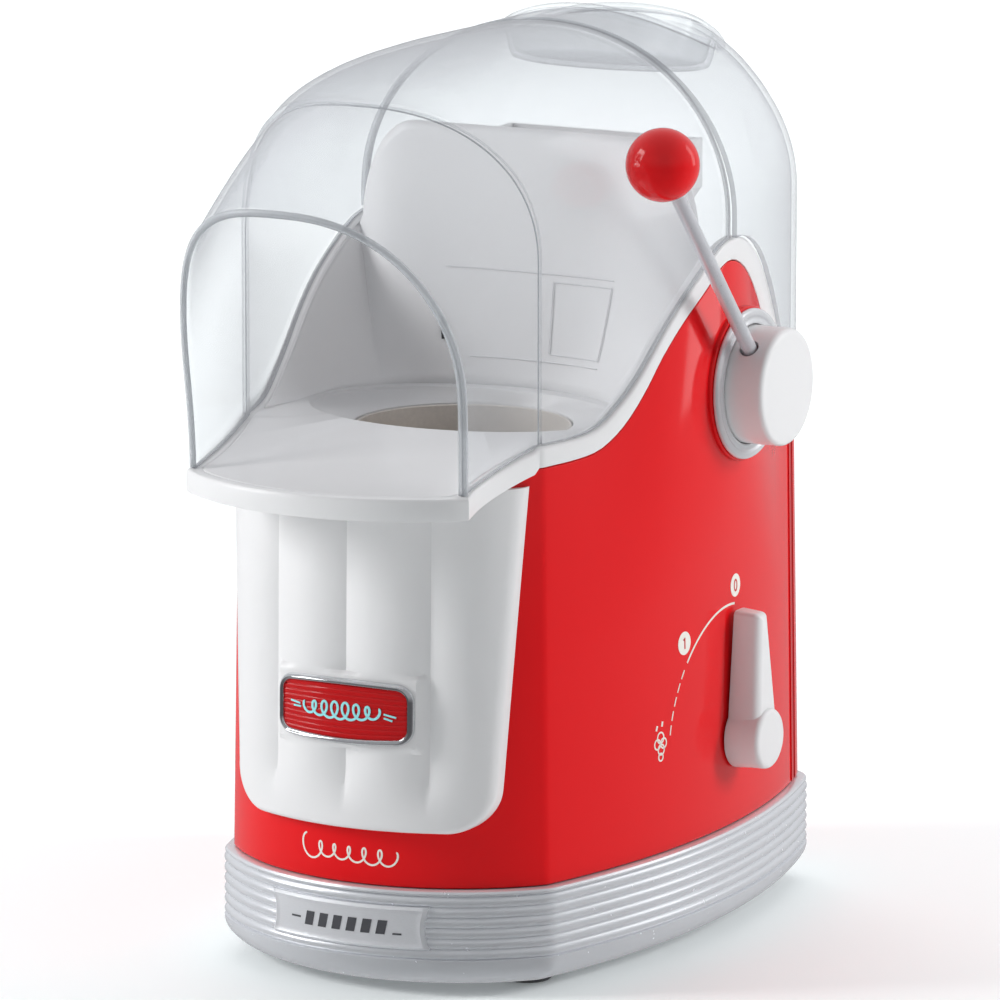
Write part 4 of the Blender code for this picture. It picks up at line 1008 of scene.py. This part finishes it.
def make_collar():
    """The white collar: its rim, the tray's floor, the funnel down to the chamber and back."""
    def top(drop):
        return lambda y, tray: (tray_height(y) if tray else rim_height(y)) - drop

    def bottom(rise):
        return lambda y, tray: (tray_height(y) - LIP if tray else red_height(y) + 0.3) + rise

    def floor(drop):
        return lambda y, tray: (tray_height(y) if tray else TRAY_Z) - drop

    rim = [
        (2.8, bottom(0)), (0.7, bottom(0)), (0.15, bottom(0.2)), (0, bottom(0.8)), (0, top(1.6)),
        (0.2, top(0.8)), (0.7, top(0.25)), (1.5, top(0)), (4.6, top(0)), (5.3, top(0.35)),
        (5.9, floor(0.0)), (7.5, floor(0.3)),
    ]
    outer = collar_loop(0, top(0))
    loops = [collar_loop(inset, height) for inset, height in rim]
    loops += [[ellipse_at(p, FUNNEL_Y, rx, ry, z) for p in outer] for rx, ry, z in FUNNEL_OVALS]
    loops.append(collar_loop(2.8, floor(3.2)))
    collar = loft(loops, joined=True)
    piece("collar_tray_look", collar, "white_plastic", "collar_tray", sharp=30)


def chute_foot(side, u):
    """A place on the scoop's foot, round the funnel."""
    angle = math.radians(-8 + 98 * u)
    x = side * (FUNNEL_RX + 1.5) * math.cos(angle)
    return Vector((x, FUNNEL_Y + (FUNNEL_RY + 2.0) * math.sin(angle), TRAY_Z - 0.6))


def chute_top(side, u):
    """A place on the scoop's upper edge: back along the collar's rim, then up over the bulkhead."""
    rise = u / RIM_SHARE
    if rise < 1.0:
        y = CHUTE_FRONT_Y + (BULKHEAD_Y - CHUTE_FRONT_Y) * rise
        return Vector((side * side_x(y, rim_height(y), -6.0), y, rim_height(y) - 0.2))
    over = (u - RIM_SHARE) / (1 - RIM_SHARE)
    full = side_x(BULKHEAD_Y, 300.0, -7.0)
    turn = math.pi / 2 * min(over / SHOULDER_SHARE, 1.0)
    if over < SHOULDER_SHARE:
        x = full - BULKHEAD_SHOULDER * (1 - math.cos(turn))
    else:
        x = (full - BULKHEAD_SHOULDER) * (1 - (over - SHOULDER_SHARE) / (1 - SHOULDER_SHARE))
    low_z = rim_height(BULKHEAD_Y) - 0.2
    return Vector((side * x, BULKHEAD_Y, low_z + (BULKHEAD_TOP_Z - low_z) * math.sin(turn)))


def chute_point(t, s):
    """A place on the scoop: t runs from its right end round the back to its left end, s up it."""
    side = 1.0 if t < 0.5 else -1.0
    u = 2 * t if t < 0.5 else 2 * (1 - t)
    low, high = chute_foot(side, u), chute_top(side, u)
    flat = low.lerp(high, s**0.75)
    return Vector((flat.x, flat.y, low.z + (high.z - low.z) * s))


def make_chute_wall():
    rows = [[chute_point(t / 160, s / 24) for t in range(161)] for s in range(25)]
    # The scoop's lighter white is painted light
    wall = piece(
        "chute_wall_look", sheet(rows), "white_plastic", "chute_wall", finish="inner_white", sharp=60,
    )
    thicken(wall, 2.0)


def chute_line(start, end, steps):
    """Points on the face of the scoop between two places (t, s)."""
    line = []
    for k in range(steps + 1):
        t, s = (a + (b - a) * k / steps for a, b in zip(start, end))
        line.append(chute_point(t, s) + Vector((0, -0.5, 0)))
    return line


def make_chute_marks():
    """Faint seams on the bulkhead, the edge of its access panel, and a small slot drawn as a near black
    bead of painted shade.
    """
    low_left, low_right, high_left, high_right = (
        (0.352, 0.14), (0.455, 0.14), (0.352, 0.42), (0.455, 0.42),
    )
    seams = [
        ((0.35, 0.45), (0.63, 0.45), 24), ((0.35, 0.11), (0.60, 0.11), 24),
        (high_left, high_right, 24), (low_left, low_right, 24),
        (low_left, high_left, 12), (low_right, high_right, 12),
    ]
    for number, seam in enumerate(seams, 1):
        line = bead(chute_line(*seam), 0.24)
        piece(f"chute_seam_{number}", line, "white_plastic", finish="seam")
    # The slot is a near black bead of painted shade, not an opening
    slot = bead(chute_line((0.642, 0.17), (0.642, 0.25), 12), 0.8)
    piece("chute_slot_shade", slot, "white_plastic", finish="slot")


def make_side_grooves():
    """The joint down each side of the body where its rear skin begins: a strip of darker red, painted shade
    for the groove, between two thin raised red lines.
    """
    low, high = 44.0, 207.6
    columns = (94.6, 97.3, 100.0)
    strip = [(y, low) for y in columns] + [(y, high) for y in reversed(columns)]
    edges = [[(y, low + 4.9 * k) for k in range(34)] for y in (94.0, 100.6)]
    for side, name in ((1, "right"), (-1, "left")):
        def place(y, z, lift, side=side):
            return (side * side_x(y, z, lift), y, z)

        # The darker red strip is painted shade for the groove
        printed(f"side_joint_{name}", [strip], place, "joint_red", 0.1)
        printed_line(f"side_joint_edges_{name}", edges, 0.9, place, "red_gloss", 0.45)


def make_chamber():
    """The popping chamber: a drawn cup with a ring of slanted air slots near its floor."""
    centre = Matrix.Translation((0, FUNNEL_Y, 0))
    cup = piece(
        "popping_chamber_look", moved(turned(CUP_PROFILE), centre), "aluminium", "popping_chamber",
        finish="chamber",
    )
    slots = bmesh.new()
    outline = rounded_rectangle(1.3, 6.0, 1.2, 4, 1)
    for k in range(AIR_SLOTS):
        turn = Matrix.Rotation(math.tau * k / AIR_SLOTS, 4, "Z") @ Matrix.Translation((0, 0, 124))
        turn = centre @ turn @ Matrix.Rotation(0.5, 4, "X")
        loft([[turn @ Vector((reach, a, b)) for a, b in outline] for reach in (36.0, 50.0)], bm=slots)
    cut(cup, slots)


# ---- hood

def super_arch(steps, foot, side_z, top_z, power_z, power_x):
    """(Share of the half-width, height) from the right foot over the top to the left foot."""
    legs = 8
    right = [(1.0, foot + (side_z - foot) * k / legs) for k in range(legs)]
    arch = steps // 2 - legs
    for k in range(arch):
        angle = math.pi / 2 * k / arch
        share = math.cos(angle) ** (2 / power_x)
        rise = math.sin(angle) ** (2 / power_z)
        right.append((share, side_z + (top_z - side_z) * rise))
    return right + [(0.0, top_z)] + [(-share, z) for share, z in reversed(right)]


def mouth_arch():
    """The hood's front edge: feet on the tray, leaning forward as it rises."""
    half, foot_y, foot_z = MOUTH_FOOT
    radius = arc_radius(TRAY_TIP[0], TRAY_TIP[1] - TRAY_FRONT_Y)
    points = []
    for share, z in super_arch(ARCH_STEPS, foot_z + FOOT_GAP, CREASE_Z, MOUTH_TOP_Z, 2.25, 2.6):
        lean = MOUTH_LEAN * max(0.0, (z - foot_z) / (MOUTH_TOP_Z - foot_z)) ** 1.7
        x = share * (half + MOUTH_FLARE * smooth_step((z - foot_z) / 60.0))
        bow = math.sqrt(radius**2 - x**2) - math.sqrt(radius**2 - half**2)
        points.append((x, foot_y - bow - lean, z))
    return points


def dome_arch(half, foot, bow, side_z, top_z, power_z, power_x):
    """A cross arch of the dome over a foot at y; bow is how far its middle stands forward."""
    y = foot[0]
    points = []
    for share, z in super_arch(ARCH_STEPS, foot[1], side_z, top_z, power_z, power_x):
        points.append((share * half, y - bow * (1 - share**2), z))
    return points


def front_hood_arches():
    """Arches from the crease back to the joint with the rear hood."""
    outline = plan(HOOD_INSET)
    first = FRONT_STEPS + FILLET_STEPS - 2
    feet = [p for p in outline[first:first + FILLET_STEPS + SIDE_STEPS] if p[1] < JOINT_Y - 2]
    feet.append((side_curve(JOINT_Y, HOOD_INSET), JOINT_Y))
    front_bow = feet[0][1] - (FRONT_CORNER_Y - HOOD_FRONT_BOW + HOOD_INSET)
    arches = []
    for x, y in feet:
        along = (y - feet[0][1]) / (JOINT_Y - feet[0][1])
        bow = front_bow * (1 - smooth_step(along))
        power_z, power_x = 2.2 - 0.2 * along, 2.5 - 0.4 * along
        top = smooth_through(RIDGE_CURVE, y - bow)
        foot = (y, rim_height(y) + FOOT_GAP)
        arches.append(dome_arch(x, foot, bow, SHOULDER_Z, top, power_z, power_x))
    return arches


def make_front_hood():
    """The clear hood: a tunnel from its mouth to a crease, then the dome back to the joint."""
    dome = front_hood_arches()
    mouth = mouth_arch()
    crease = []
    for x, y, z in dome[0]:
        crease.append(Vector((x * 0.985, y, z - 1.3 * smooth_step((z - CREASE_Z) / 60))))
    tunnel = []
    for k in range(TUNNEL_STEPS + 1):
        t = k / TUNNEL_STEPS
        swell = math.sin(math.pi * t)
        row = []
        for near, far in zip(mouth, crease):
            point = Vector(near).lerp(far, t)
            point.z += 4.0 * swell * smooth_step((point.z - CREASE_Z + 10) / 60)
            point.x -= math.copysign(1.2, point.x) * swell * min(abs(point.x) / 10.0, 1.0)
            row.append(point)
        tunnel.append(row)
    hood = piece("front_hood_look", sheet(tunnel + dome), "clear_plastic", "front_hood", body=HOOD)
    # The wall's cut edge, the bead at the mouth and the bead under the crease are grey painted shade for
    # the lines the clear edges show
    thicken(hood, HOOD_WALL, "clear_edge")
    rim = [Vector((x, y + 1.3, z)) for x, y, z in mouth]
    piece("front_hood_rim", bead(rim, 1.25, 12), "clear_plastic", body=HOOD, finish="clear_rim")
    inner = [Vector((x * 0.988, y, z - (1.2 if z > 250 else 0.0))) for x, y, z in crease]
    piece("front_hood_crease_shade", bead(inner, 0.36), "clear_plastic", body=HOOD, finish="clear_edge")


def bead(path, radius, steps=8):
    """A thin round bead along a path of points, with closed ends."""
    rows = []
    for k, point in enumerate(path):
        here = Vector(point)
        along = direction(path, k).normalized()
        side = along.cross(Vector((0, 1, 0))).normalized()
        out = side.cross(along)
        turns = [math.tau * j / steps for j in range(steps)]
        rows.append([here + side * radius * math.cos(a) + out * radius * math.sin(a) for a in turns])
    return loft(rows)


def rear_ridge(y):
    """Height of the rear hood's middle line: level, then a quarter ellipse down its back."""
    back = BACK_CENTRE.y + BACK_RADIUS - REAR_HOOD_INSET
    fall = max(0.0, min(1.0, (y - BACK_SHOULDER_Y) / (back - BACK_SHOULDER_Y)))
    return BACK_EDGE_Z + (HOOD_TOP_Z - BACK_EDGE_Z) * math.sqrt(1 - fall**2)


def rear_hood_arches():
    """Arches from the joint with the front hood to the back of the machine."""
    outline = plan(REAR_HOOD_INSET)
    start_y = JOINT_Y + 1.0
    feet = [p for p in outline[:len(outline) // 2 + 1] if p[0] >= 0 and p[1] > start_y + 2]
    arches = []
    for x, y in [(side_curve(start_y, REAR_HOOD_INSET), start_y)] + feet:
        foot = (y, rim_height(y) + FOOT_GAP)
        arches.append(dome_arch(max(x, 0.0), foot, 0.0, SHOULDER_Z, rear_ridge(y), 2.0, 2.05))
    return arches


def rear_hood_height(x, y):
    """Height of the rear hood's outer face over a place."""
    rise = (1 - abs(x / side_curve(y, REAR_HOOD_INSET))**2.05)**0.5
    return SHOULDER_Z + (rear_ridge(y) - SHOULDER_Z) * rise


def cap_oval(inset, lift=0.0, z=None, steps=120):
    """A loop round the filler opening, on the hood's surface or at one height."""
    loop = []
    for k in range(steps):
        angle = math.tau * k / steps
        x = (CAP_RX - inset) * math.cos(angle)
        y = CAP_Y + (CAP_RY - inset) * math.sin(angle)
        loop.append((x, y, rear_hood_height(x, y) + lift if z is None else z))
    return loop


def make_rear_hood():
    hood = piece("rear_hood_look", sheet(rear_hood_arches()), "clear_plastic", "rear_hood")
    # The wall's cut edge is grey painted shade
    thicken(hood, HOOD_WALL, "clear_edge")
    cut(hood, loft([cap_oval(0, z=z) for z in (320.0, 380.0)]))


def make_filler_cap():
    """An oval measuring dish with a rolled rim."""
    floor = [(14.0, -2.0), (7.0, -2.0), (4.0, -1.0), (2.6, 1.6)]
    rim = [
        (0.7, 0.4), (-2.4, 0.5), (-2.9, 0.9), (-2.8, 1.6), (-2.0, 2.1), (0.4, 2.19), (2.0, 1.6), (2.9, 0.0),
    ]
    dish = [(4.8, 2.6), (6.2, 0.7), (9.0, 0.0), (14.0, 0.0)]
    loops = [cap_oval(inset, z=CAP_FLOOR_Z + rise) for inset, rise in floor]
    loops += [cap_oval(inset, lift) for inset, lift in rim]
    loops += [cap_oval(inset, z=CAP_FLOOR_Z + rise) for inset, rise in dish]
    piece("filler_cap_look", loft(loops), "clear_plastic", "filler_cap", body=CAP, sharp=50)


# ---- lever

def make_lever_mount():
    """The red boss and the silver ring that stay with the housing, and the hub that turns."""
    def on_hub(profile, radius, steps, sides=96):
        return on_x(turned(rounded(profile, radius, steps), sides), (0, LEVER_Y, LEVER_Z))

    boss = [(25.0, 79.6), (31.2, 79.6), (31.2, 86.9), (25.0, 86.9)]
    piece("lever_boss_look", on_hub(boss, 0.9, 5), "red_gloss")
    step = [
        (24.3, 80.0), (24.9, 80.0), (24.9, 87.1), (30.4, 87.1), (30.4, 88.4), (29.6, 89.2),
        (27.6, 89.3), (26.8, 88.7), (25.6, 88.9), (24.8, 89.3), (24.3, 89.0),
    ]
    ring_shape = on_hub(step, 0.7, 4)
    piece("lever_ring_look", ring_shape, "silver_paint", "lever_ring", finish="bright_silver")
    hub = [
        (0, 86.4), (HUB_RADIUS - 0.4, 86.4), (HUB_RADIUS, 87.0), (HUB_RADIUS, HUB_END_X), (0, HUB_END_X),
    ]
    return piece(
        "lever_hub_look", on_hub(hub, 2.6, 7, 128), "white_plastic", "lever_hub", body=LEVER,
    )


def ball_profile(steps=47):
    """(Radius, height) of the ball from the hole for its rod round to its top."""
    mouth = (4.6, -13.75)
    profile = [(0, -9.0), (ROD_RADIUS + 0.3, -9.0), (ROD_RADIUS + 0.3, -13.6), mouth]
    start = math.atan2(mouth[1], mouth[0])
    for k in range(1, steps + 1):
        angle = start + (math.pi / 2 - start) * k / steps
        radius = BALL_RADIUS * math.cos(angle) if k < steps else 0
        profile.append((radius, BALL_RADIUS * math.sin(angle)))
    return profile


def make_lever():
    hub = make_lever_mount()
    aim = Matrix.Translation((ROD_X, LEVER_Y, LEVER_Z)) @ Matrix.Rotation(LEVER_ANGLE, 4, "X")
    socket = [(0, 12.0), (ROD_RADIUS + 1.0, 12.0), (ROD_RADIUS + 1.0, 30.0), (0, 30.0)]
    cut(hub, moved(turned(rounded(socket, 0.3), 48), aim))
    end = LEVER_LENGTH - 8.0
    rod = turned([(0, 12.2), (ROD_RADIUS, 12.2), (ROD_RADIUS, end), (0, end)], 48)
    piece("lever_rod_look", moved(rod, aim), "steel", "lever_rod", body=LEVER, finish="rod_steel")
    ball = turned([(r, z + LEVER_LENGTH) for r, z in ball_profile()])
    piece("lever_ball_look", moved(ball, aim), "red_gloss", "lever_ball", body=LEVER)


# ---- switch

def knob_outline(inset):
    """A pointer seen from the side: a round foot and a narrower blade with a blunt tip, as (y, z)."""
    foot_r, waist, tip = KNOB_FOOT - inset, KNOB_WAIST - inset, KNOB_TIP - inset
    corner = max(2.6 - inset, 0.3)
    foot = Vector((SWITCH_Y, SWITCH_Z))
    lean = math.acos(waist / foot_r)
    points = arc(foot, foot_r, math.pi - lean, math.tau + lean, 56)
    points.append((foot.x + waist, foot.y + foot_r * math.sin(lean)))
    top = foot.y + KNOB_LENGTH - inset - corner
    points += arc(Vector((foot.x + tip - corner, top)), corner, 0, math.pi / 2, 8)
    points.append((foot.x + tip - corner, top + corner))
    points += arc(Vector((foot.x - tip + corner, top)), corner, math.pi / 2, math.pi, 8)
    points.append((foot.x - tip, top))
    return points


def make_switch():
    """A blade that leans back toward its tip, and a round boss whose face stands out from it."""
    end = KNOB_END_X
    levels = [
        (KNOB_X, 0.6), (KNOB_X + 0.3, 0.15), (KNOB_X + 1.0, 0.0), (end - 5.0, 0.7), (end - 4.0, 0.9),
        (end - 2.9, 1.4), (end - 2.1, 2.2), (end - 1.6, 3.1), (end - 1.5, 3.9),
    ]
    loops = []
    for x, inset in levels:
        share = (x - KNOB_X) / (end - KNOB_X)
        loops.append([
            (x - 2.4 * share * smooth_step((z - SWITCH_Z - 6) / KNOB_LENGTH), y, z)
            for y, z in knob_outline(inset)
        ])
    piece("switch_blade", loft(loops), "white_plastic", "switch_knob", body=SWITCH)
    boss = rounded([(0, KNOB_X + 0.4), (12.7, KNOB_X + 0.4), (12.3, end), (0, end)], 2.4, 7)
    boss_shape = on_x(turned(boss), (0, SWITCH_Y, SWITCH_Z))
    piece("switch_boss", boss_shape, "white_plastic", body=SWITCH)


def on_side(y, z, lift):
    return (side_x(y, z, lift), y, z)


def around_dial(radius, degrees):
    """A place round the switch; degrees run forward from straight up."""
    angle = math.radians(degrees)
    return SWITCH_Y - radius * math.sin(angle), SWITCH_Z + radius * math.cos(angle)


def make_dial_scale():
    """The printed arc, the broken arc and the two discs; it returns the discs' places."""
    arc_line = [around_dial(DIAL_RADIUS - 2.0 * (1 - k / 40)**3, 48 * k / 40) for k in range(41)]
    printed_line("dial_arc", [arc_line], 0.9, on_side, "printed_white")
    dashes = [
        [around_dial(DIAL_RADIUS, 51.5 + 5.9 * k + 4.0 * j / 6) for j in range(7)] for k in range(5)
    ]
    printed_line("dial_dashes", dashes, 0.6, on_side, "printed_white")
    places = [around_dial(MARK_RADIUS - 1.0, -1), around_dial(MARK_RADIUS + 1.0, 43.6)]
    discs = [circle(y, z, 4.7) for y, z in places]
    printed("dial_discs", discs, on_side, "printed_white")
    return places


def make_dial():
    """Printed scale of the switch: two numbered discs, an arc, a broken arc and a puff sign."""
    def above(y, z, lift):
        return on_side(y, z, lift + 0.16)

    (y, z), (one_y, one_z) = make_dial_scale()
    turns = [math.tau * k / 32 for k in range(33)]
    zero = [(y + 1.35 * math.cos(turn), z + 2.2 * math.sin(turn)) for turn in turns]
    one = [(one_y + a, one_z + b) for a, b in ((-0.9, 1.3), (0.15, 2.2), (0.15, -2.3))]
    printed_line("dial_zero", [zero], 0.75, above, "printed_red", 0.06)
    printed_line("dial_one", [one], 0.8, above, "printed_red", 0.06)
    y, z = around_dial(MARK_RADIUS, 83)
    puffs = [(0.0, 3.2, 2.2), (2.0, 0.8, 2.0), (-2.2, 0.8, 2.0), (0.3, -1.6, 2.1), (0.0, -4.6, 1.5)]
    rings = [circle(y + a, z + b, r, 24) + [(y + a + r, z + b)] for a, b, r in puffs]
    ticks = [((-2.2, 8.4), (-3.0, 6.4)), ((1.4, 9.6), (1.0, 7.6))]
    ticks = [[(y + a, z + b) for a, b in tick] for tick in ticks]
    printed_line("dial_puff", rings, 0.65, on_side, "printed_white")
    printed_line("dial_ticks", ticks, 1.0, on_side, "printed_white")


# ---- carried-over nodes

def make_inner_looks():
    """Materials for the CAD nodes whose shape is kept."""
    slots = {part["node"]: part["material_slot"] for part in frame["record"]["subparts"]}
    for name, obj in frame["nodes"].items():
        obj.data.materials.clear()
        obj.data.materials.append(look(SLOT_LOOKS[slots[name]]))


# ---- stage

def area_light(name, at, aim, size, power, sheen=True, fill=True):
    """A rectangular light; sheen is whether it is mirrored, fill whether it lights surfaces."""
    light = bpy.data.lights.new(name, "AREA")
    light.shape = "RECTANGLE"
    light.size, light.size_y = size
    light.energy = power
    obj = new_object(name, light)
    obj.visible_glossy = sheen
    obj.visible_diffuse = fill
    obj.location = at
    obj.rotation_euler = (Vector(aim) - Vector(at)).to_track_quat("-Z", "Y").to_euler()


AZIMUTH, ELEVATION, DISTANCE = math.radians(28.35), math.radians(11.26), 3.25
FLOOR_REACH = 4.5
AWAY = Vector((-math.sin(AZIMUTH), math.cos(AZIMUTH), 0))
ACROSS = Vector((math.cos(AZIMUTH), math.sin(AZIMUTH), 0))


def link(tree, source, target):
    """Join an (node, output) pair to an (node, input) pair."""
    tree.links.new(source[0].outputs[source[1]], target[0].inputs[target[1]])


def mix_colours(tree, factor, near=None, far=None):
    """A colour mix by a factor, between two colours if they are given."""
    mix = node(tree, "Mix")
    mix.data_type = "RGBA"
    if near:
        with_inputs(mix, A=(*near, 1.0), B=(*far, 1.0))
    link(tree, (factor, "Result"), (mix, "Factor"))
    return mix


def make_world():
    """A grey studio, brighter behind the object than in front of it, and darker low down."""
    world = bpy.data.worlds.new("studio")
    bpy.context.scene.world = world
    world.use_nodes = True
    tree = world.node_tree
    place = node(tree, "TexCoord")
    parts = node(tree, "SeparateXYZ")
    low = node(tree, "MapRange", From_Min=-0.12, From_Max=0.3)
    away = node(tree, "VectorMath")
    away.operation = "DOT_PRODUCT"
    away.inputs[1].default_value = AWAY
    depth = node(tree, "MapRange", From_Min=-0.5, From_Max=0.6)
    link(tree, (place, "Generated"), (parts, "Vector"))
    link(tree, (place, "Generated"), (away, 0))
    link(tree, (away, "Value"), (depth, "Value"))
    link(tree, (parts, "Z"), (low, "Value"))
    dark = mix_colours(tree, depth, (0.10, 0.10, 0.105), (0.42, 0.42, 0.43))
    light = mix_colours(tree, depth, (0.34, 0.345, 0.355), (0.62, 0.63, 0.65))
    whole = mix_colours(tree, low)
    link(tree, (dark, "Result"), (whole, "A"))
    link(tree, (light, "Result"), (whole, "B"))
    link(tree, (whole, "Result"), (tree.nodes["Background"], "Color"))


def make_floor():
    """A wide sheet of white paper."""
    bm = bmesh.new()
    corners = [(FLOOR_REACH * a, FLOOR_REACH * b) for a, b in ((-1, -1), (-1, 1), (1, 1), (1, -1))]
    bm.faces.new([bm.verts.new(AWAY * far + ACROSS * side) for far, side in corners])
    mesh = bpy.data.meshes.new("floor")
    bm.to_mesh(mesh)
    bm.free()
    floor = new_object("floor", mesh)
    floor.visible_glossy = False
    material, tree, shader = new_material("floor_look")
    cloud = add_noise(tree, 3.0)
    tint(tree, cloud, (0.87, 0.90, 0.90), (0.885, 0.915, 0.915), shader.inputs["Base Color"])
    glow = (0.94, 1.0, 0.99, 1.0)
    with_inputs(shader, Roughness=0.6, Emission_Color=glow, Emission_Strength=0.11)
    mesh.materials.append(material)


def make_camera():
    """The camera looks down a little from the front right."""
    back = Vector((
        math.sin(AZIMUTH) * math.cos(ELEVATION), -math.cos(AZIMUTH) * math.cos(ELEVATION),
        math.sin(ELEVATION),
    ))
    up = back.cross(ACROSS)
    target = SHIFT + Vector((0, 0, 0.1688))
    aim = target - ACROSS * 0.00813 + up * 0.00213
    data = bpy.data.cameras.new("camera")
    data.lens = 290.0
    data.sensor_width = 36.0
    data.clip_start = 0.1
    camera = new_object("camera", data)
    camera.location = target + back * DISTANCE
    camera.rotation_euler = (aim - camera.location).to_track_quat("-Z", "Y").to_euler()
    bpy.context.scene.camera = camera


def make_stage():
    """A softbox and a bright card on each side of the camera, and a light for the far floor.

    The softboxes light surfaces but aren't mirrored in them; the cards are only seen mirrored.
    """
    make_world()
    make_floor()
    make_camera()
    middle = Vector((0, 0, 0.17))
    left = middle - ACROSS * 1.5 - AWAY * 0.15 + Vector((0, 0, 0.62))
    right = middle + ACROSS * 1.5 + AWAY * 0.05 + Vector((0, 0, 0.55))
    area_light("left", left, middle, (0.4, 0.6), 17.5, sheen=False)
    area_light("right", right, middle, (0.35, 0.6), 14.5, sheen=False)
    area_light("left_card", left, middle, (0.7, 1.2), 12, fill=False)
    area_light("right_card", right + AWAY * 0.5, middle, (0.4, 1.1), 2.0, fill=False)
    area_light("behind", AWAY * 2.3 + Vector((0, 0, 1.9)), AWAY * 2.5, (2.4, 2.0), 42, sheen=False)
    bpy.context.scene.view_settings.view_transform = "Standard"


make_base()
make_nameplate()
make_body()
make_front_panel()
make_badge()
make_front_ornament()
make_collar()
make_chute_wall()
make_chute_marks()
make_side_grooves()
make_chamber()
make_front_hood()
make_rear_hood()
make_filler_cap()
make_lever()
make_switch()
make_dial()
make_inner_looks()
make_stage()
